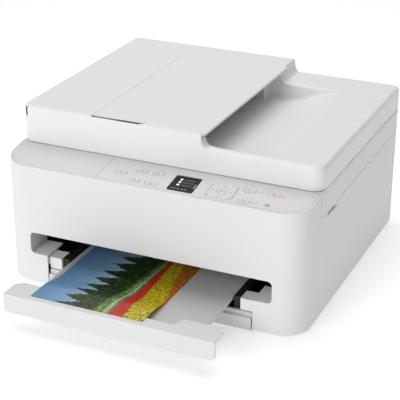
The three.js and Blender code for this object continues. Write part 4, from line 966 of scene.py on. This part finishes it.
def make_screen_image():
    """Three rows of a mark and a bar, a footer of dashes and a slider."""
    x, y = SCREEN_AT
    rows = [8.6, 2.8, -3.0]
    marks = [(frame_line(-8.8, -5.4, r - 1.7, r + 1.7), 0) for r in rows]
    bars = [(frame_line(-3.4, 11.5, r - 1.3, r + 1.3), 0) for r in rows]
    foot = [([(a, -11.6), (a + 2.6, -11.6)], 1.1) for a in (-13, -9, -4.5, 0.5, 4.5)]
    slider = [(frame_line(13.4, 14.8, -6, 3), 0)]
    lift = -0.05
    for name, strokes, ink in (("marks", marks, SCREEN_LIGHT), ("bars", bars, SCREEN_DIM),
                               ("footer", foot + slider, SCREEN_MID)):
        printed(f"screen_{name}", shifted(strokes, x, y), ink, "chassis",
                lift)


make_key_prints()
make_deck_prints()
make_screen_image()

# ------------------------------------------------------------------ small parts


BLOCK_OUT = BAY_HALF - 1
BLOCK_WIDTH = 16.5
BLOCK_IN = BLOCK_OUT - BLOCK_WIDTH
BOARD_SETBACK = 14
BOARD_THICKNESS = 1.6
CHIPS = (("cpu", 50, 42, 24), ("memory", 96, 48, 16), ("driver", 124, 36, 20))
PORTS = (("usb", 60, 12, 11), ("network", 92, 14, 8), ("line", 128, 16, 13))


def make_skirts():
    """Strips that close the gap between the bezel's blocks and the cassette's front."""
    gap = 0.8
    cassette_top = span("cassette_front")[1].z
    for side, x0, x1 in (("left", -BLOCK_OUT, -BLOCK_IN), ("right", BLOCK_IN, BLOCK_OUT)):
        strip = block(x0, x1, FRONT + 5.2, FRONT + 12, cassette_top + gap, SHELF_Z - 16.3)
        piece(strip, f"bezel_skirt_{side}", INNER_GREY, "chassis", (), 0.4)


def make_board():
    """The main board: its card, chips on the inside and sockets in the rear panel."""
    face = REAR - BOARD_SETBACK
    low, high = span("main_board")
    card = block(low.x, high.x, face, face + BOARD_THICKNESS, low.z,
                 high.z)
    holes = [rod("Y", face - 1, face + 3, (x, z), 1.7) for x in (low.x + 5, high.x - 5)
             for z in (low.z + 5, high.z - 5)]
    piece(combine(card, holes), "board_card", BOARD, "chassis",
          ["main_board"], 0.1)
    for name, x, rise, size in CHIPS:
        z = low.z + rise
        chip = block(x - size / 2, x + size / 2, face - 2.6, face - 0.1, z - size / 2,
                     z + size / 2)
        legs = block(x - size / 2 - 1.2, x + size / 2 + 1.2, face - 1, face - 0.2,
                     z - size / 2 + 1, z + size / 2 - 1)
        piece(combine(chip, [legs], "UNION"), f"chip_{name}", BLACK_PLASTIC, "chassis",
              (), 0.15)
    port_z = low.z + 8
    for name, x, width, height in PORTS:
        left, right, top = x - width / 2, x + width / 2, port_z + height
        shell = block(left, right, face + 1.8, REAR - 0.5, port_z, top)
        room = block(left + 0.8, right - 0.8, face + 4, REAR, port_z + 0.8, top - 0.8)
        piece(combine(shell, [room]), f"port_{name}_shell", STEEL, "chassis", (),
              0.15)
        middle = port_z + height / 2
        tongue = block(left + 2.2, right - 2.2, face + 4.2, REAR - 2.5, middle - 1.2,
                       middle + 1.2)
        grooves = [block(x + k * 1.8 - 0.4, x + k * 1.8 + 0.4, face + 6, REAR - 2,
                         middle - 1.4, middle - 0.8) for k in (-1, 0, 1)]
        piece(combine(tongue, grooves), f"port_{name}_tongue", BLACK_PLASTIC, "chassis",
              (), 0.1)


def make_screws():
    """Four cross-head screws that hold the rear panel."""
    for side in (-1, 1):
        for row, z in (("low", BASE_Z + 12), ("high", SEAM_Z - 12)):
            x = side * (HALF_W - 24)
            head = rod("Y", REAR - 0.6, REAR + 0.7, (x, z), 3.2)
            slots = [block(x - 2, x + 2, REAR + 0.2, REAR + 1, z - 0.4, z + 0.4),
                     block(x - 0.4, x + 0.4, REAR + 0.2, REAR + 1, z - 2, z + 2)]
            end = "left" if side < 0 else "right"
            piece(combine(head, slots), f"screw_{end}_{row}", STEEL, "chassis",
                  (), 0.1)


make_skirts()
make_board()
make_screws()

# ------------------------------------------------------------------ finishes of CAD nodes

CAD_LOOKS = (
    (BLACK_PLASTIC, 0.3, ("inner_frame", "platen", "carriage", "power_inlet", "power_supply",
                          "cassette_box", "scan_bar")),
    (DARK_PLASTIC, 0.3, ("maintenance_station", "ink_cartridge_colour",
                         "ink_cartridge_black")),
    (STEEL, 0.2, ("feed_roller", "feed_motor", "feed_motor_pulley", "carriage_rail",
                  "carriage_motor", "carriage_motor_pulley", "carriage_idler_pulley",
                  "scan_guide_rod")),
    (RUBBER, 0.2, ("exit_roller", "feed_belt", "pickup_roller", "carriage_belt",
                   "adf_pick_roller", "adf_feed_roller", "foot_front_left",
                   "foot_front_right", "foot_rear_left", "foot_rear_right")),
    (GLASS, 0.2, ("platen_glass",)),
    (FOAM, 0.5, ("pressure_pad",)),
    (TRAY_GREY, 0.3, ("tray_plate", "paper_guide_left", "paper_guide_right")),
    (WHITE, 0.4, ("rear_panel", "scanner_bezel", "lid_base")),
    (SHADED_FRONT_WHITE, 0.6, ("cassette_front", "tray_lip")),
    (INNER_GREY, 0.5, ("exit_bezel",)),
    (SHADED_DECK_WHITE, 0.3, ("deck_left_panel", "control_panel")),
    (KEY_WHITE, 0.15, ("key_setup", "key_copy", "key_scan", "key_fax", "key_print",
                       "key_home", "key_stop", "key_start", "key_navigation", "key_ok")),
    (SCREEN_BLACK, 0.3, ("lcd_screen",)),
    (PHOTO_PAPER, 0, ("printed_sheet",)),
)
for material, width, names in CAD_LOOKS:
    for name in names:
        node = nodes[name]
        node.data.materials.clear()
        node.data.materials.append(material)
        if width:
            soften(node, width)

# ------------------------------------------------------------------ floor and light


def make_stage():
    mesh = bpy.data.meshes.new("floor")
    reach = 6
    mesh.from_pydata([(-reach, -reach, 0), (reach, -reach, 0), (reach, reach, 0),
                      (-reach, reach, 0)], [], [(0, 1, 2, 3)])
    floor = bpy.data.objects.new("floor", mesh)
    bpy.context.scene.collection.objects.link(floor)
    m = Nodes("floor")
    tone = m.ramp(m.noise(3, 2), [(0.3, grey(0.93)), (0.7, grey(0.95))])
    floor.data.materials.append(m.set(colour=tone, roughness=0.9, specular=0.1,
                                      emission=(1, 1, 1), glow=0.34))


def area_light(name, at, aim, size, power):
    data = bpy.data.lights.new(name, "AREA")
    data.shape = "SQUARE"
    data.size = size
    data.energy = power
    lamp = bpy.data.objects.new(name, data)
    lamp.location = at
    lamp.rotation_euler = (Vector(aim) - Vector(at)).to_track_quat("-Z", "Y").to_euler()
    bpy.context.scene.collection.objects.link(lamp)


def make_light():
    """A large soft key light from the front left and a soft light from above."""
    world = bpy.data.worlds.new("studio")
    bpy.context.scene.world = world
    world.use_nodes = True
    background = world.node_tree.nodes["Background"]
    background.inputs["Color"].default_value = (1, 1, 1, 1)
    background.inputs["Strength"].default_value = 0.28
    area_light("key", (-0.5, -2.35, 1.0), (0, 0, 0.1), 1.4, 27)
    area_light("top", (-0.2, 0.5, 2.0), (0, 0.1, 0.1), 1.8, 24)
    bpy.context.scene.view_settings.view_transform = "Standard"


make_stage()
make_light()
